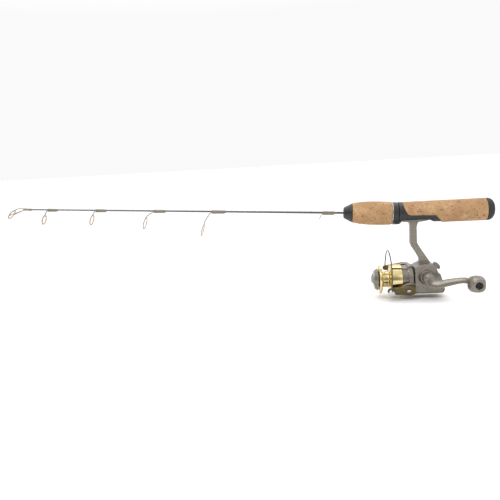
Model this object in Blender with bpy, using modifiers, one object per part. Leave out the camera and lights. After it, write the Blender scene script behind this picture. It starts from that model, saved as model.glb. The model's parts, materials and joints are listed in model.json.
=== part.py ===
"""Ice fishing rod with a small spinning reel, modelled at rest.

Units are metres, +Z is up and +X points to the butt. The origin is on the axis of the
rear grip, above the middle of the reel's stem. The blank and the foregrip lie on a line
that rises a little towards the tip. The reel's own axis is parallel to X, below the grip,
and its crank is on the -Y side.
"""

import math

import bmesh
import bpy
from mathutils import Matrix, Vector

# ---------------------------------------------------------------- clearances
GAP = 0.0003            # between pieces that touch
RUN = 0.0003            # radial running clearance of a shaft in its hole
SWEEP = 0.0006          # between pieces that pass each other

# ---------------------------------------------------------------- rod line
ROD_PIVOT_X = -0.024    # where the rod line meets the axis of the rear grip
ROD_RISE = math.radians(3.35)
BLANK_LENGTH = 0.468    # from the pivot to the tip
BLANK_TAIL = 0.006      # glued into the seat behind the pivot
BLANK_TIP_R = 0.0008
BLANK_BUTT_R = 0.00155

# ---------------------------------------------------------------- guides, tip to butt
# distance from the pivot, ring radius, drop below the blank, reach towards the tip, wrap length
GUIDES = (
    (0.4374, 0.0065, 0.0131, 0.0052, 0.0140),
    (0.3740, 0.0072, 0.0125, 0.0052, 0.0150),
    (0.2985, 0.0081, 0.0158, 0.0112, 0.0162),
    (0.2243, 0.0085, 0.0238, 0.0112, 0.0184),
)
GUIDE_TILT = math.radians(13)
GUIDE_WIRE_R = 0.0006
GUIDE_FOOT_R = 0.00045
INSERT_WIRE_R = 0.0005
WRAP_WALL = 0.0013      # thread and epoxy over the blank
WRAP_DROP = 0.0006      # the wrap sags round the foot

# ---------------------------------------------------------------- tip top
TIP_TUBE_LENGTH = 0.0072
TIP_TUBE_WALL = 0.0004
TIP_END_WALL = 0.0010
TIP_RING_R = 0.0071
TIP_RING_REACH = 0.0163
TIP_RING_DROP = 0.0066
TIP_TILT = math.radians(35)
TIP_WRAP_LENGTH = 0.0042

# ---------------------------------------------------------------- hook keeper
KEEPER_AT = 0.0853
KEEPER_WRAP_LENGTH = 0.0154
KEEPER_DROP = 0.0068

# ---------------------------------------------------------------- grips and seat
GRIP_R = 0.0134
GRIP_REAR_R = 0.0136
GRIP_FRONT_X = -0.0130
GRIP_REAR_X = 0.0858
BUTT_X = 0.0959
BUTT_FLAT_R = 0.0060
BUTT_PLUG_R = 0.0050
BUTT_PLUG_LENGTH = 0.0090
SEAT_FLAT_Z = -0.0078
SEAT_FRONT_X = -0.0179
SHELF_Z = -0.0024
REAR_HOOD_X = 0.0186
REAR_HOOD_BASE_Z = -0.0118
BARREL_R = 0.0074
BARREL_LENGTH = 0.0420
THREAD_PITCH = 0.0025
THREAD_DEPTH = 0.0006
THREAD_RIDGES = 6
HOOD_R = 0.0137
HOOD_LENGTH = 0.0062
HOOD_LIP_X = -0.0153
HOOD_TRAVEL = 0.0070
TRIM_RING_LENGTH = 0.0011
SLEEVE_WALL = 0.0018
FOREGRIP_LENGTH = 0.0474
FOREGRIP_R = 0.0145
FOREGRIP_NOSE_R = 0.0119
NOSE_LENGTH = 0.0099
NOSE_TIP_R = 0.0068

# ---------------------------------------------------------------- reel foot and stem
FOOT_FRONT_X = -0.0222
FOOT_REAR_X = 0.0232
FOOT_HALF_WIDTH = 0.0056
FOOT_END_THICK = 0.0017
FOOT_ROOT_THICK = 0.0034
STEM_HALF_WIDTH = 0.0038
STEM_BEVEL = 0.0014

# ---------------------------------------------------------------- reel housing
REEL_Z = -0.0823        # axis of the spool, rotor and main shaft
CRANK_X = 0.0127
CRANK_Z = -0.0776
HOUSING_HALF_WIDTH = 0.0122
HOUSING_WALL = 0.0018
COVER_THICK = 0.0024
NECK_R = 0.0082
NECK_LENGTH = 0.0042
BEARING_R = 0.0058
BOSS_R = 0.0088
BOSS_RIM_R = 0.0069
BOSS_LENGTH = 0.0046
SCREW_R = 0.0011
SCREW_HEAD_R = 0.0021

# ---------------------------------------------------------------- shafts and gears
MAIN_SHAFT_R = 0.00125
CRANK_SHAFT_R = 0.0025
PINION_TEETH = 7
GEAR_TEETH = 36
PINION_R = 0.0026
PINION_TUBE_R = 0.0021
GEAR_R = 0.0104
GEAR_HOLE_R = 0.0066
CROSS_TEETH = 15
CROSS_PINION_TEETH = 12
CROSS_MODULE = 0.0007
CROSS_X = 0.0222
CROSS_Z = -0.0797
CROSS_THROW = 0.0032
CROSS_POST_R = 0.0012
RATCHET_R = 0.0040
RATCHET_TEETH = 10

# ---------------------------------------------------------------- spool and drag
SPOOL_LIP_R = 0.0178
SPOOL_LIP_X = -0.0428
SPOOL_LIP_LENGTH = 0.0040
ARBOR_R = 0.0098
SKIRT_X = -0.0294
SKIRT_R = 0.0183
SKIRT_WALL = 0.0009
SKIRT_REAR_X = -0.0158
DRAG_CUP_R = 0.0112
KNOB_FRONT_X = -0.0512
KNOB_R = 0.0140
KNOB_NOSE_R = 0.0050

# ---------------------------------------------------------------- rotor and bail
ROTOR_ROLL = math.radians(27)      # how far the bail's near pivot is below the horizontal
ROTOR_SLEEVE_X = -0.0205
ROTOR_STEP_X = -0.0084
ROTOR_REAR_X = -0.0025
ROTOR_R = 0.0188
EAR_IN = 0.0190
EAR_OUT = 0.0219
BAIL_PIVOT_X = -0.0095
BAIL_ARM_THICK = 0.0024
ROLLER_X = -0.0307
ROLLER_R = 0.0032
ROLLER_LENGTH = 0.0030
BAIL_NOSE_R = 0.0043
BAIL_REACH = 0.0398     # from the pivot line to the top of the wire loop
BAIL_LEAN = 0.0010
BAIL_SQUARENESS = 2.3   # 2 is an ellipse
BAIL_WIRE_R = 0.00075

# ---------------------------------------------------------------- crank
ARM_HUB_R = 0.0064
ARM_THICK = 0.0046
KNOB_X = 0.0583
KNOB_Z = -0.0790
CRANK_TIP_Y = -0.0460
GRIP_KNOB_LENGTH = 0.0190
GRIP_KNOB_PIN_R = 0.0017

ROUND = 24              # sides of the larger turned pieces
SMALL = 14              # sides of the small ones


# ================================================================ scene
def clear_scene():
    for obj in list(bpy.data.objects):
        bpy.data.objects.remove(obj, do_unlink=True)


def collection(name, hidden=False):
    made = bpy.data.collections.new(name)
    bpy.context.scene.collection.children.link(made)
    made.hide_render = hidden
    return made


clear_scene()
PARTS = collection("ice_fishing_rod")
CUTTERS = collection("cutters", hidden=True)


def material(name, colour, roughness, metallic=0.0):
    made = bpy.data.materials.new(name)
    made.use_nodes = True
    shader = made.node_tree.nodes["Principled BSDF"]
    shader.inputs["Base Color"].default_value = (*colour, 1.0)
    shader.inputs["Roughness"].default_value = roughness
    shader.inputs["Metallic"].default_value = metallic
    return made


GRAPHITE = material("graphite_blank", (0.02, 0.022, 0.026), 0.25)
THREAD = material("thread_wrap", (0.09, 0.075, 0.045), 0.25)
CORK = material("cork", (0.62, 0.43, 0.26), 0.85)
BLACK = material("black_plastic", (0.018, 0.018, 0.022), 0.45)
RUBBER = material("butt_rubber", (0.02, 0.02, 0.02), 0.7)
COPPER = material("copper_ring", (0.50, 0.33, 0.24), 0.3, 1.0)
WIRE = material("guide_steel", (0.36, 0.34, 0.30), 0.3, 1.0)
STEEL = material("steel", (0.55, 0.55, 0.57), 0.25, 1.0)
DARK_STEEL = material("dark_steel", (0.12, 0.12, 0.15), 0.3, 1.0)
SILVER = material("silver_paint", (0.50, 0.48, 0.46), 0.35, 0.4)
GOLD = material("gold_spool", (0.75, 0.62, 0.28), 0.18, 1.0)
BRONZE = material("bronze_paint", (0.30, 0.22, 0.11), 0.35, 0.6)
BRASS = material("brass", (0.70, 0.52, 0.22), 0.35, 1.0)
ZINC = material("zinc_alloy", (0.45, 0.45, 0.46), 0.5, 1.0)
FELT = material("drag_felt", (0.30, 0.28, 0.25), 0.95)


def frame(name, location, rotation=(0.0, 0.0, 0.0)):
    """An empty that carries the pieces of one line of the object."""
    made = bpy.data.objects.new(name, None)
    made.location = location
    made.rotation_euler = rotation
    PARTS.objects.link(made)
    return made


ROD_LINE = frame("rod_line", (ROD_PIVOT_X, 0.0, 0.0), (0.0, ROD_RISE, 0.0))
REEL_LINE = frame("reel_line", (0.0, 0.0, REEL_Z))
# In the rotor's frame the bail's pivot line is Y, with the line roller on the -Y side.
ROTOR_LINE = frame("rotor_line", (0.0, 0.0, REEL_Z), (ROTOR_ROLL, 0.0, 0.0))
CRANK_LINE = frame("crank_line", (CRANK_X, 0.0, CRANK_Z))

ALONG_X = Matrix.Rotation(math.pi / 2, 4, "Y")      # local Z becomes +X
ALONG_Y = Matrix.Rotation(-math.pi / 2, 4, "X")     # local Z becomes +Y


def smooth(mesh, angle=35):
    mesh.shade_smooth()
    mesh.set_sharp_from_angle(angle=math.radians(angle))


def add(name, mesh, paint, parent=None, placed=None, cutter=False):
    made = bpy.data.objects.new(name, mesh)
    (CUTTERS if cutter else PARTS).objects.link(made)
    if cutter:
        made.hide_render = True
        made.display_type = "WIRE"
    made.parent = parent
    made.matrix_local = placed or Matrix.Identity(4)
    if paint and mesh:
        mesh.materials.append(paint)
    return made


def at(x, y, z):
    return Matrix.Translation((x, y, z))


def realised(source):
    """The object's evaluated shape as a plain mesh object in the same place."""
    bpy.context.view_layer.update()
    graph = bpy.context.evaluated_depsgraph_get()
    mesh = bpy.data.meshes.new_from_object(source.evaluated_get(graph))
    shape = bmesh.new()
    shape.from_mesh(mesh)
    bmesh.ops.remove_doubles(shape, verts=shape.verts, dist=1e-6)
    bmesh.ops.recalc_face_normals(shape, faces=shape.faces)
    shape.to_mesh(mesh)
    shape.free()
    name = source.name
    holder = source.users_collection[0]
    parent = source.parent
    local = source.matrix_local.copy()
    hidden = source.hide_render
    bpy.data.objects.remove(source, do_unlink=True)
    made = bpy.data.objects.new(name, mesh)
    holder.objects.link(made)
    made.parent = parent
    made.matrix_local = local
    made.hide_render = hidden
    if hidden:
        made.display_type = "WIRE"
    smooth(mesh)
    return made


def turned(name, stations, paint=None, parent=None, placed=None, steps=ROUND, cutter=False):
    """A turned shape. Its stations are (place along the axis, radius), down the outer side first."""
    mesh = bpy.data.meshes.new(name)
    closed = stations[0][1] > 0 or stations[-1][1] > 0
    points = [(radius, 0.0, place) for place, radius in stations]
    edges = [(i, i + 1) for i in range(len(points) - 1)]
    if closed:
        edges.append((len(points) - 1, 0))
    mesh.from_pydata(points, edges, [])
    made = add(name, mesh, paint, parent, placed if placed is not None else ALONG_X, cutter)
    screw = made.modifiers.new("turn", "SCREW")
    screw.axis = "Z"
    screw.steps = steps
    screw.render_steps = steps
    screw.use_merge_vertices = True
    screw.merge_threshold = 0.00001
    screw.use_smooth_shade = True
    return realised(made)


def ring_stations(high, low, outer, inner):
    return [(high, outer), (low, outer), (low, inner), (high, inner)]


def rod_stations(high, low, radius):
    return [(high, 0.0), (high, radius), (low, radius), (low, 0.0)]


def plate(name, outline, half, paint=None, parent=None, placed=None, bevel=0.0, cutter=False):
    """A flat outline in local XZ, extruded by half each way along Y."""
    curve = bpy.data.curves.new(name, "CURVE")
    curve.dimensions = "2D"
    curve.fill_mode = "BOTH"
    curve.extrude = half
    spline = curve.splines.new("POLY")
    spline.points.add(len(outline) - 1)
    for point, (x, z) in zip(spline.points, outline):
        point.co = (x, z, 0.0, 1.0)
    spline.use_cyclic_u = True
    upright = Matrix.Rotation(math.pi / 2, 4, "X")
    made = add(name, curve, paint, parent, (placed or Matrix.Identity(4)) @ upright, cutter)
    made = realised(made)
    if bevel:
        rounding = made.modifiers.new("edges", "BEVEL")
        rounding.width = bevel
        rounding.segments = 2
        rounding.limit_method = "ANGLE"
        rounding.angle_limit = math.radians(50)
    return made


def wire(name, points, radius, paint=None, parent=None, sides=2, cutter=False, closed=False):
    curve = bpy.data.curves.new(name, "CURVE")
    curve.dimensions = "3D"
    curve.bevel_depth = radius
    curve.bevel_resolution = sides
    curve.use_fill_caps = not closed
    spline = curve.splines.new("POLY")
    spline.points.add(len(points) - 1)
    for point, place in zip(spline.points, points):
        point.co = (*place, 1.0)
    spline.use_cyclic_u = closed
    return realised(add(name, curve, paint, parent, None, cutter))


def combine(target, other, operation):
    cut = target.modifiers.new(other.name, "BOOLEAN")
    cut.operation = operation
    cut.solver = "EXACT"
    cut.object = other
    return target


def cut(target, *cutters):
    for cutter in cutters:
        combine(target, cutter, "DIFFERENCE")
    return target


def join(target, *others):
    for other in others:
        combine(target, other, "UNION")
    return target


def arc(cx, cz, radius, start, end, count):
    """Points on a circle arc, angles in degrees from +X towards +Z."""
    steps = [math.radians(start + (end - start) * i / count) for i in range(count + 1)]
    return [(cx + radius * math.cos(a), cz + radius * math.sin(a)) for a in steps]


def smooth_path(points, steps):
    """A Catmull-Rom curve through the points, with steps pieces between each two."""
    knots = [Vector(p) for p in points]
    ends = [2 * knots[0] - knots[1], *knots, 2 * knots[-1] - knots[-2]]
    path = []
    for a, b, c, d in zip(ends, ends[1:], ends[2:], ends[3:]):
        for i in range(steps):
            t = i / steps
            path.append(0.5 * (2 * b + (c - a) * t + (2 * a - 5 * b + 4 * c - d) * t**2
                               + (3 * b - 3 * c + d - a) * t**3))
    path.append(knots[-1])
    return [tuple(p) for p in path]


# ================================================================ blank
def blank_radius(distance):
    """Radius of the blank at a distance from the pivot towards the tip."""
    return BLANK_BUTT_R + (BLANK_TIP_R - BLANK_BUTT_R) * max(distance, 0.0) / BLANK_LENGTH


def make_blank():
    turned("blank", [(BLANK_TAIL, 0.0), (BLANK_TAIL, BLANK_BUTT_R), (0.0, BLANK_BUTT_R),
                     (-BLANK_LENGTH, BLANK_TIP_R), (-BLANK_LENGTH, 0.0)],
           GRAPHITE, ROD_LINE, steps=12)


# ================================================================ guides and wraps
def hoop_points(centre, radius, tilt, count=16):
    """A circle across the rod, its top leaning towards the butt by tilt."""
    points = []
    for i in range(count):
        a = 2 * math.pi * i / count
        up = radius * math.cos(a)
        points.append((centre[0] + up * math.sin(tilt), radius * math.sin(a),
                       centre[1] + up * math.cos(tilt)))
    return points


def insert_ring(name, centre, radius, tilt):
    ring_radius = radius - 2 * GUIDE_WIRE_R - GAP - INSERT_WIRE_R
    wire(name, hoop_points(centre, ring_radius, tilt), INSERT_WIRE_R, COPPER, ROD_LINE,
         sides=1, closed=True)


def make_wrap(name, start, length, radius, foot=None):
    """A thread wrap from start back towards the butt. Its bore clears the blank and the foot."""
    half = length / 2
    outer = radius + WRAP_WALL
    bore = radius + GAP
    shape = [(half, bore + GAP), (half * 0.55, outer * 0.93), (-half * 0.6, outer),
             (-half, outer * 0.9), (-half, bore * 0.5), (half, bore * 0.5)]
    middle = -start + half
    wrap = turned(name, shape, THREAD, ROD_LINE,
                  at(middle, 0.0, -WRAP_DROP if foot else 0.0) @ ALONG_X, steps=12)
    hole = turned(name + "_bore", rod_stations(length, -length, bore), None, ROD_LINE,
                  at(middle, 0.0, 0.0) @ ALONG_X, steps=12, cutter=True)
    cut(wrap, hole)
    if foot:
        cut(wrap, wire(name + "_groove", foot, GUIDE_FOOT_R + GAP, None, ROD_LINE, 1, True))


def make_guide(number, start, ring_r, drop, reach, wrap_length):
    radius = blank_radius(start)
    foot_z = -(radius + GAP + GUIDE_FOOT_R)
    hoop_r = ring_r - GUIDE_WIRE_R
    centre = (-start - reach, -drop)
    top = (centre[0] + hoop_r * math.sin(GUIDE_TILT), 0.0, centre[1] + hoop_r * math.cos(GUIDE_TILT))
    bend = -start - 0.0006
    foot_end = -start + wrap_length * 0.72
    leg = smooth_path([(bend, 0.0, foot_z),
                       (bend + (top[0] - bend) * 0.42, 0.0, foot_z + (top[2] - foot_z) * 0.30),
                       (bend + (top[0] - bend) * 0.85, 0.0, foot_z + (top[2] - foot_z) * 0.72),
                       top], 3)
    foot = [(foot_end, 0.0, foot_z)] + leg
    guide = wire(f"guide_frame_{number}", foot, GUIDE_FOOT_R, WIRE, ROD_LINE, sides=1)
    hoop = wire(f"guide_hoop_{number}", hoop_points(centre, hoop_r, GUIDE_TILT), GUIDE_WIRE_R,
                None, ROD_LINE, 1, True, True)
    join(guide, hoop)
    insert_ring(f"guide_ring_{number}", centre, ring_r, GUIDE_TILT)
    groove = [(foot_end + GAP, 0.0, foot_z)] + leg[:3]
    make_wrap(f"guide_wrap_{number}", start, wrap_length, radius, groove)


def make_tip_top():
    tube_r = BLANK_TIP_R + GAP + TIP_TUBE_WALL
    tube_front = -(BLANK_LENGTH + GAP + TIP_END_WALL)
    tube_rear = tube_front + TIP_TUBE_LENGTH
    bore = BLANK_TIP_R + GAP
    frame_piece = turned("tip_top_frame", [
        (tube_rear, tube_r), (tube_front, tube_r), (tube_front, 0.0),
        (tube_front + TIP_END_WALL, 0.0), (tube_front + TIP_END_WALL, bore), (tube_rear, bore)],
        WIRE, ROD_LINE, steps=12)
    centre = (tube_front - TIP_RING_REACH, -TIP_RING_DROP)
    hoop_r = TIP_RING_R - GUIDE_WIRE_R
    hoop = hoop_points(centre, hoop_r, TIP_TILT)
    join(frame_piece, wire("tip_top_hoop", hoop, GUIDE_WIRE_R, None, ROD_LINE, 1, True, True))
    wire_r = GUIDE_FOOT_R
    root = tube_front + TIP_END_WALL / 2
    top = hoop[0]
    upper = [(root, 0.0, 0.0007), ((root + top[0]) / 2, 0.0, 0.0009), top]
    join(frame_piece, wire("tip_top_brace", upper, wire_r, None, ROD_LINE, 1, True))
    for side, point in (("left", hoop[5]), ("right", hoop[-5])):
        lower = [(root, point[1] * 0.05, -0.0005),
                 ((root + point[0]) / 2, point[1] * 0.55, point[2] * 0.55), point]
        join(frame_piece, wire("tip_top_leg_" + side, lower, wire_r, None, ROD_LINE, 1, True))
    insert_ring("tip_top_ring", centre, TIP_RING_R, TIP_TILT)
    make_wrap("tip_wrap", -(tube_rear + GAP), TIP_WRAP_LENGTH, BLANK_TIP_R)


def make_hook_keeper():
    radius = blank_radius(KEEPER_AT)
    foot_z = -(radius + GAP + GUIDE_FOOT_R)
    path = [(-KEEPER_AT + KEEPER_WRAP_LENGTH * 0.7, 0.0, foot_z)]
    path += smooth_path([(-KEEPER_AT - 0.0003, 0.0, foot_z),
                         (-KEEPER_AT - 0.0024, 0.0, foot_z - 0.0028),
                         (-KEEPER_AT - 0.0038, 0.0, -KEEPER_DROP - radius)], 3)
    wire("hook_keeper", path, GUIDE_FOOT_R, WIRE, ROD_LINE, sides=1)
    make_wrap("keeper_wrap", KEEPER_AT, KEEPER_WRAP_LENGTH, radius, [
        (path[0][0] + GAP, 0.0, foot_z), *path[1:4]])


# ================================================================ foregrip and its screw lock
def foregrip_places():
    """Where the trim ring, cork and nose cap start and end along the rod line."""
    hood_front = -GAP * 2
    ring_rear = hood_front - GAP
    ring_front = ring_rear - TRIM_RING_LENGTH
    cork_rear = ring_front - GAP
    cork_front = cork_rear - FOREGRIP_LENGTH
    return hood_front, ring_rear, ring_front, cork_rear, cork_front


def make_foregrip():
    _, ring_rear, ring_front, cork_rear, cork_front = foregrip_places()
    bore = BARREL_R + GAP
    sleeve_r = bore + SLEEVE_WALL
    cork_bore = sleeve_r + GAP
    length = cork_rear - cork_front
    turned("foregrip_ring", ring_stations(ring_rear, ring_front, GRIP_R + 0.0004, bore + GAP),
           STEEL, ROD_LINE)
    profile = [(0.0, GRIP_R + 0.0004), (0.05, FOREGRIP_R - 0.0003), (0.25, FOREGRIP_R),
               (0.55, FOREGRIP_R - 0.0001), (0.75, FOREGRIP_R - 0.0007),
               (0.92, FOREGRIP_NOSE_R + 0.0007), (1.0, FOREGRIP_NOSE_R)]
    outer = [(cork_rear - length * share, radius) for share, radius in profile]
    turned("foregrip_cork", outer + [(cork_front, cork_bore), (cork_rear, cork_bore)],
           CORK, ROD_LINE)
    turned("thread_sleeve", ring_stations(cork_rear - GAP, cork_front + GAP, sleeve_r, bore),
           BLACK, ROD_LINE, steps=20)
    nose_rear = cork_front - GAP
    nose_front = nose_rear - NOSE_LENGTH
    hole = BLANK_BUTT_R + RUN
    turned("nose_cap", [
        (nose_rear, FOREGRIP_NOSE_R - 0.0004), (nose_rear - NOSE_LENGTH * 0.35, FOREGRIP_NOSE_R - 0.0019),
        (nose_rear - NOSE_LENGTH * 0.75, NOSE_TIP_R + 0.0010), (nose_front + 0.0006, NOSE_TIP_R),
        (nose_front, NOSE_TIP_R - 0.0008), (nose_front, hole), (nose_rear, hole)],
        BLACK, ROD_LINE)


def foot_pocket(name, front, rear, floor_play):
    """Room for the end of the reel foot, in world axes."""
    top = SEAT_FLAT_Z + GAP / 3
    base = SEAT_FLAT_Z - GAP - FOOT_END_THICK - floor_play
    half = FOOT_HALF_WIDTH + SWEEP
    return plate(name, [(front, top), (rear, top), (rear, base - 0.0008), (front, base)],
                 half, cutter=True)


def make_front_hood():
    """The sliding hood: a ring on the barrel whose lower lip holds the front of the foot."""
    hood_front = foregrip_places()[0]
    rear = hood_front + HOOD_LENGTH
    hood = turned("front_hood", ring_stations(rear, hood_front, HOOD_R, BARREL_R + RUN),
                  BLACK, ROD_LINE)
    lip_front = SEAT_FRONT_X - HOOD_LENGTH * 0.6
    lip = plate("hood_lip", [
        (lip_front, SEAT_FLAT_Z - GAP), (HOOD_LIP_X, SEAT_FLAT_Z - GAP),
        (HOOD_LIP_X, SEAT_FLAT_Z - GAP - FOOT_END_THICK - 0.0014),
        (SEAT_FRONT_X, -HOOD_R + 0.0009), (lip_front, -HOOD_R + 0.0009)],
        FOOT_HALF_WIDTH + 0.0026, cutter=True)
    join(hood, lip)
    cut(hood, foot_pocket("hood_pocket", FOOT_FRONT_X - SWEEP, HOOD_LIP_X + 0.01, GAP * 2))


# ================================================================ seat and rear grip
def seat_side(grow):
    """The seat seen from the side, grown by a clearance where the cork meets it."""
    g = grow
    lean = 0.0165 * math.tan(ROD_RISE)
    return [
        (SEAT_FRONT_X + lean, 0.0165), (GRIP_FRONT_X - GAP + g, 0.016),
        (GRIP_FRONT_X + 0.0006 + g, 0.0088), (GRIP_FRONT_X + 0.0029 + g, 0.0020 + g),
        (GRIP_FRONT_X + 0.0058 + g, SHELF_Z + 0.0007 + g), (GRIP_FRONT_X + 0.0092, SHELF_Z + g),
        (0.0246 + g / 2, SHELF_Z - 0.0010 + g), (0.0362 + g, -0.0148 + g / 2),
        (0.0362 + g, -0.0165), (SEAT_FRONT_X - lean, -0.0165)]


def make_seat():
    barrel = [(0.0110, 0.0), (0.0110, BARREL_R - 0.0016), (SEAT_FRONT_X - ROD_PIVOT_X, BARREL_R)]
    first = -0.0030
    for i in range(THREAD_RIDGES):
        place = first - i * THREAD_PITCH
        barrel += [(place, BARREL_R), (place - THREAD_PITCH * 0.5, BARREL_R - THREAD_DEPTH)]
    bore = BLANK_BUTT_R + GAP
    barrel += [(-BARREL_LENGTH, BARREL_R - THREAD_DEPTH), (-BARREL_LENGTH, bore),
               (BLANK_TAIL + GAP, bore), (BLANK_TAIL + GAP, 0.0)]
    turned_barrel = turned("reel_seat", barrel, BLACK, ROD_LINE, steps=20)
    body = turned("seat_body", rod_stations(0.0362, SEAT_FRONT_X - 0.002, GRIP_R), None, None, cutter=True)
    combine(body, plate("seat_side", seat_side(0.0), 0.02, cutter=True), "INTERSECT")
    tail = BLANK_TAIL + GAP
    cut(body, turned("blank_hole", rod_stations(tail, -0.02, bore), None, ROD_LINE, steps=20,
                     cutter=True))
    underside = [
        (SEAT_FRONT_X - 0.01, SEAT_FLAT_Z), (REAR_HOOD_X - 0.0008, SEAT_FLAT_Z),
        (REAR_HOOD_X, SEAT_FLAT_Z - 0.0011), (REAR_HOOD_X + 0.0054, REAR_HOOD_BASE_Z),
        (0.0400, REAR_HOOD_BASE_Z), (0.0400, -0.02), (SEAT_FRONT_X - 0.01, -0.02)]
    cut(body, plate("seat_underside", underside, 0.02, cutter=True))
    cut(body, foot_pocket("seat_pocket", REAR_HOOD_X - 0.002, FOOT_REAR_X + GAP, GAP))
    body = realised(body)
    join(turned_barrel, body)


def make_rear_grip():
    grip = turned("rear_grip", [
        (GRIP_REAR_X, GRIP_REAR_R), (0.05, (GRIP_R + GRIP_REAR_R) / 2), (GRIP_FRONT_X, GRIP_R),
        (GRIP_FRONT_X, 0.0), (GRIP_REAR_X - BUTT_PLUG_LENGTH - GAP, 0.0),
        (GRIP_REAR_X - BUTT_PLUG_LENGTH - GAP, BUTT_PLUG_R + GAP),
        (GRIP_REAR_X, BUTT_PLUG_R + GAP)], CORK)
    cut(grip, plate("grip_channel", seat_side(GAP), 0.02, cutter=True))


def make_butt_cap():
    front = GRIP_REAR_X + GAP
    turned("butt_cap", [
        (BUTT_X, 0.0), (BUTT_X, BUTT_FLAT_R), (BUTT_X - 0.0010, 0.0092), (BUTT_X - 0.0028, 0.0119),
        (BUTT_X - 0.0056, GRIP_REAR_R - 0.0002), (front, GRIP_REAR_R), (front, BUTT_PLUG_R),
        (front - BUTT_PLUG_LENGTH, BUTT_PLUG_R), (front - BUTT_PLUG_LENGTH, 0.0)], RUBBER)


# ================================================================ reel housing
def housing_outline(inset=0.0):
    """The housing seen from the side, in world axes, pulled in by a wall thickness."""
    i = inset
    return [
        (-0.0005 + i, -0.0672 - i / 2), (0.0040 + i / 2, -0.0642 - i), (0.0090, -0.0626 - i),
        (0.0212 - i / 2, -0.0626 - i), (0.0240 - i, -0.0642 - i / 2), (0.0270 - i, -0.0730 - i / 3),
        (0.0300 - i, -0.0757 - i / 3), (0.0332 - i, -0.0860), (0.0340 - i, -0.0945 + i / 2),
        (0.0322 - i, -0.0975 + i), (0.0020 + i, -0.0975 + i), (-0.0005 + i, -0.0950 + i / 2)]


COVER_SCREWS = ((0.0044, -0.0674), (0.0040, -0.0938), (0.0304, -0.0938))
COVER_FACE = -(HOUSING_HALF_WIDTH + GAP)
LEVER_X, LEVER_Z = 0.0242, -0.0690
LEVER_R = 0.0035
LEVER_HALF = 0.0048
LEVER_PIN_R = 0.0009
LEVER_PIN_HALF = 0.0092
POST_R = 0.0022


def make_foot():
    root = SEAT_FLAT_Z - GAP - FOOT_ROOT_THICK
    end = SEAT_FLAT_Z - GAP - FOOT_END_THICK
    top = SEAT_FLAT_Z - GAP
    outline = [(FOOT_FRONT_X, top), (FOOT_REAR_X, top), (FOOT_REAR_X, end),
               (REAR_HOOD_X, end - 0.0001), (0.0085, root), (-0.0048, root), (FOOT_FRONT_X, end)]
    return plate("reel_foot", outline, FOOT_HALF_WIDTH, bevel=0.0005, cutter=True)


def make_stem():
    front = [(-0.0060, -0.0096), (-0.0046, -0.0125), (-0.0040, -0.0170), (-0.0040, -0.0370),
             (-0.0028, -0.0410), (0.0016, -0.0478), (0.0056, -0.0544), (0.0069, -0.0585),
             (0.0060, -0.0615), (0.0035, -0.0650), (0.0035, -0.0690)]
    rear = [(0.0225, -0.0690), (0.0218, -0.0640), (0.0150, -0.0540), (0.0078, -0.0428),
            (0.0046, -0.0370), (0.0043, -0.0170), (0.0058, -0.0128), (0.0090, -0.0096)]
    return plate("reel_stem", front + rear, STEM_HALF_WIDTH, bevel=STEM_BEVEL, cutter=True)


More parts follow.
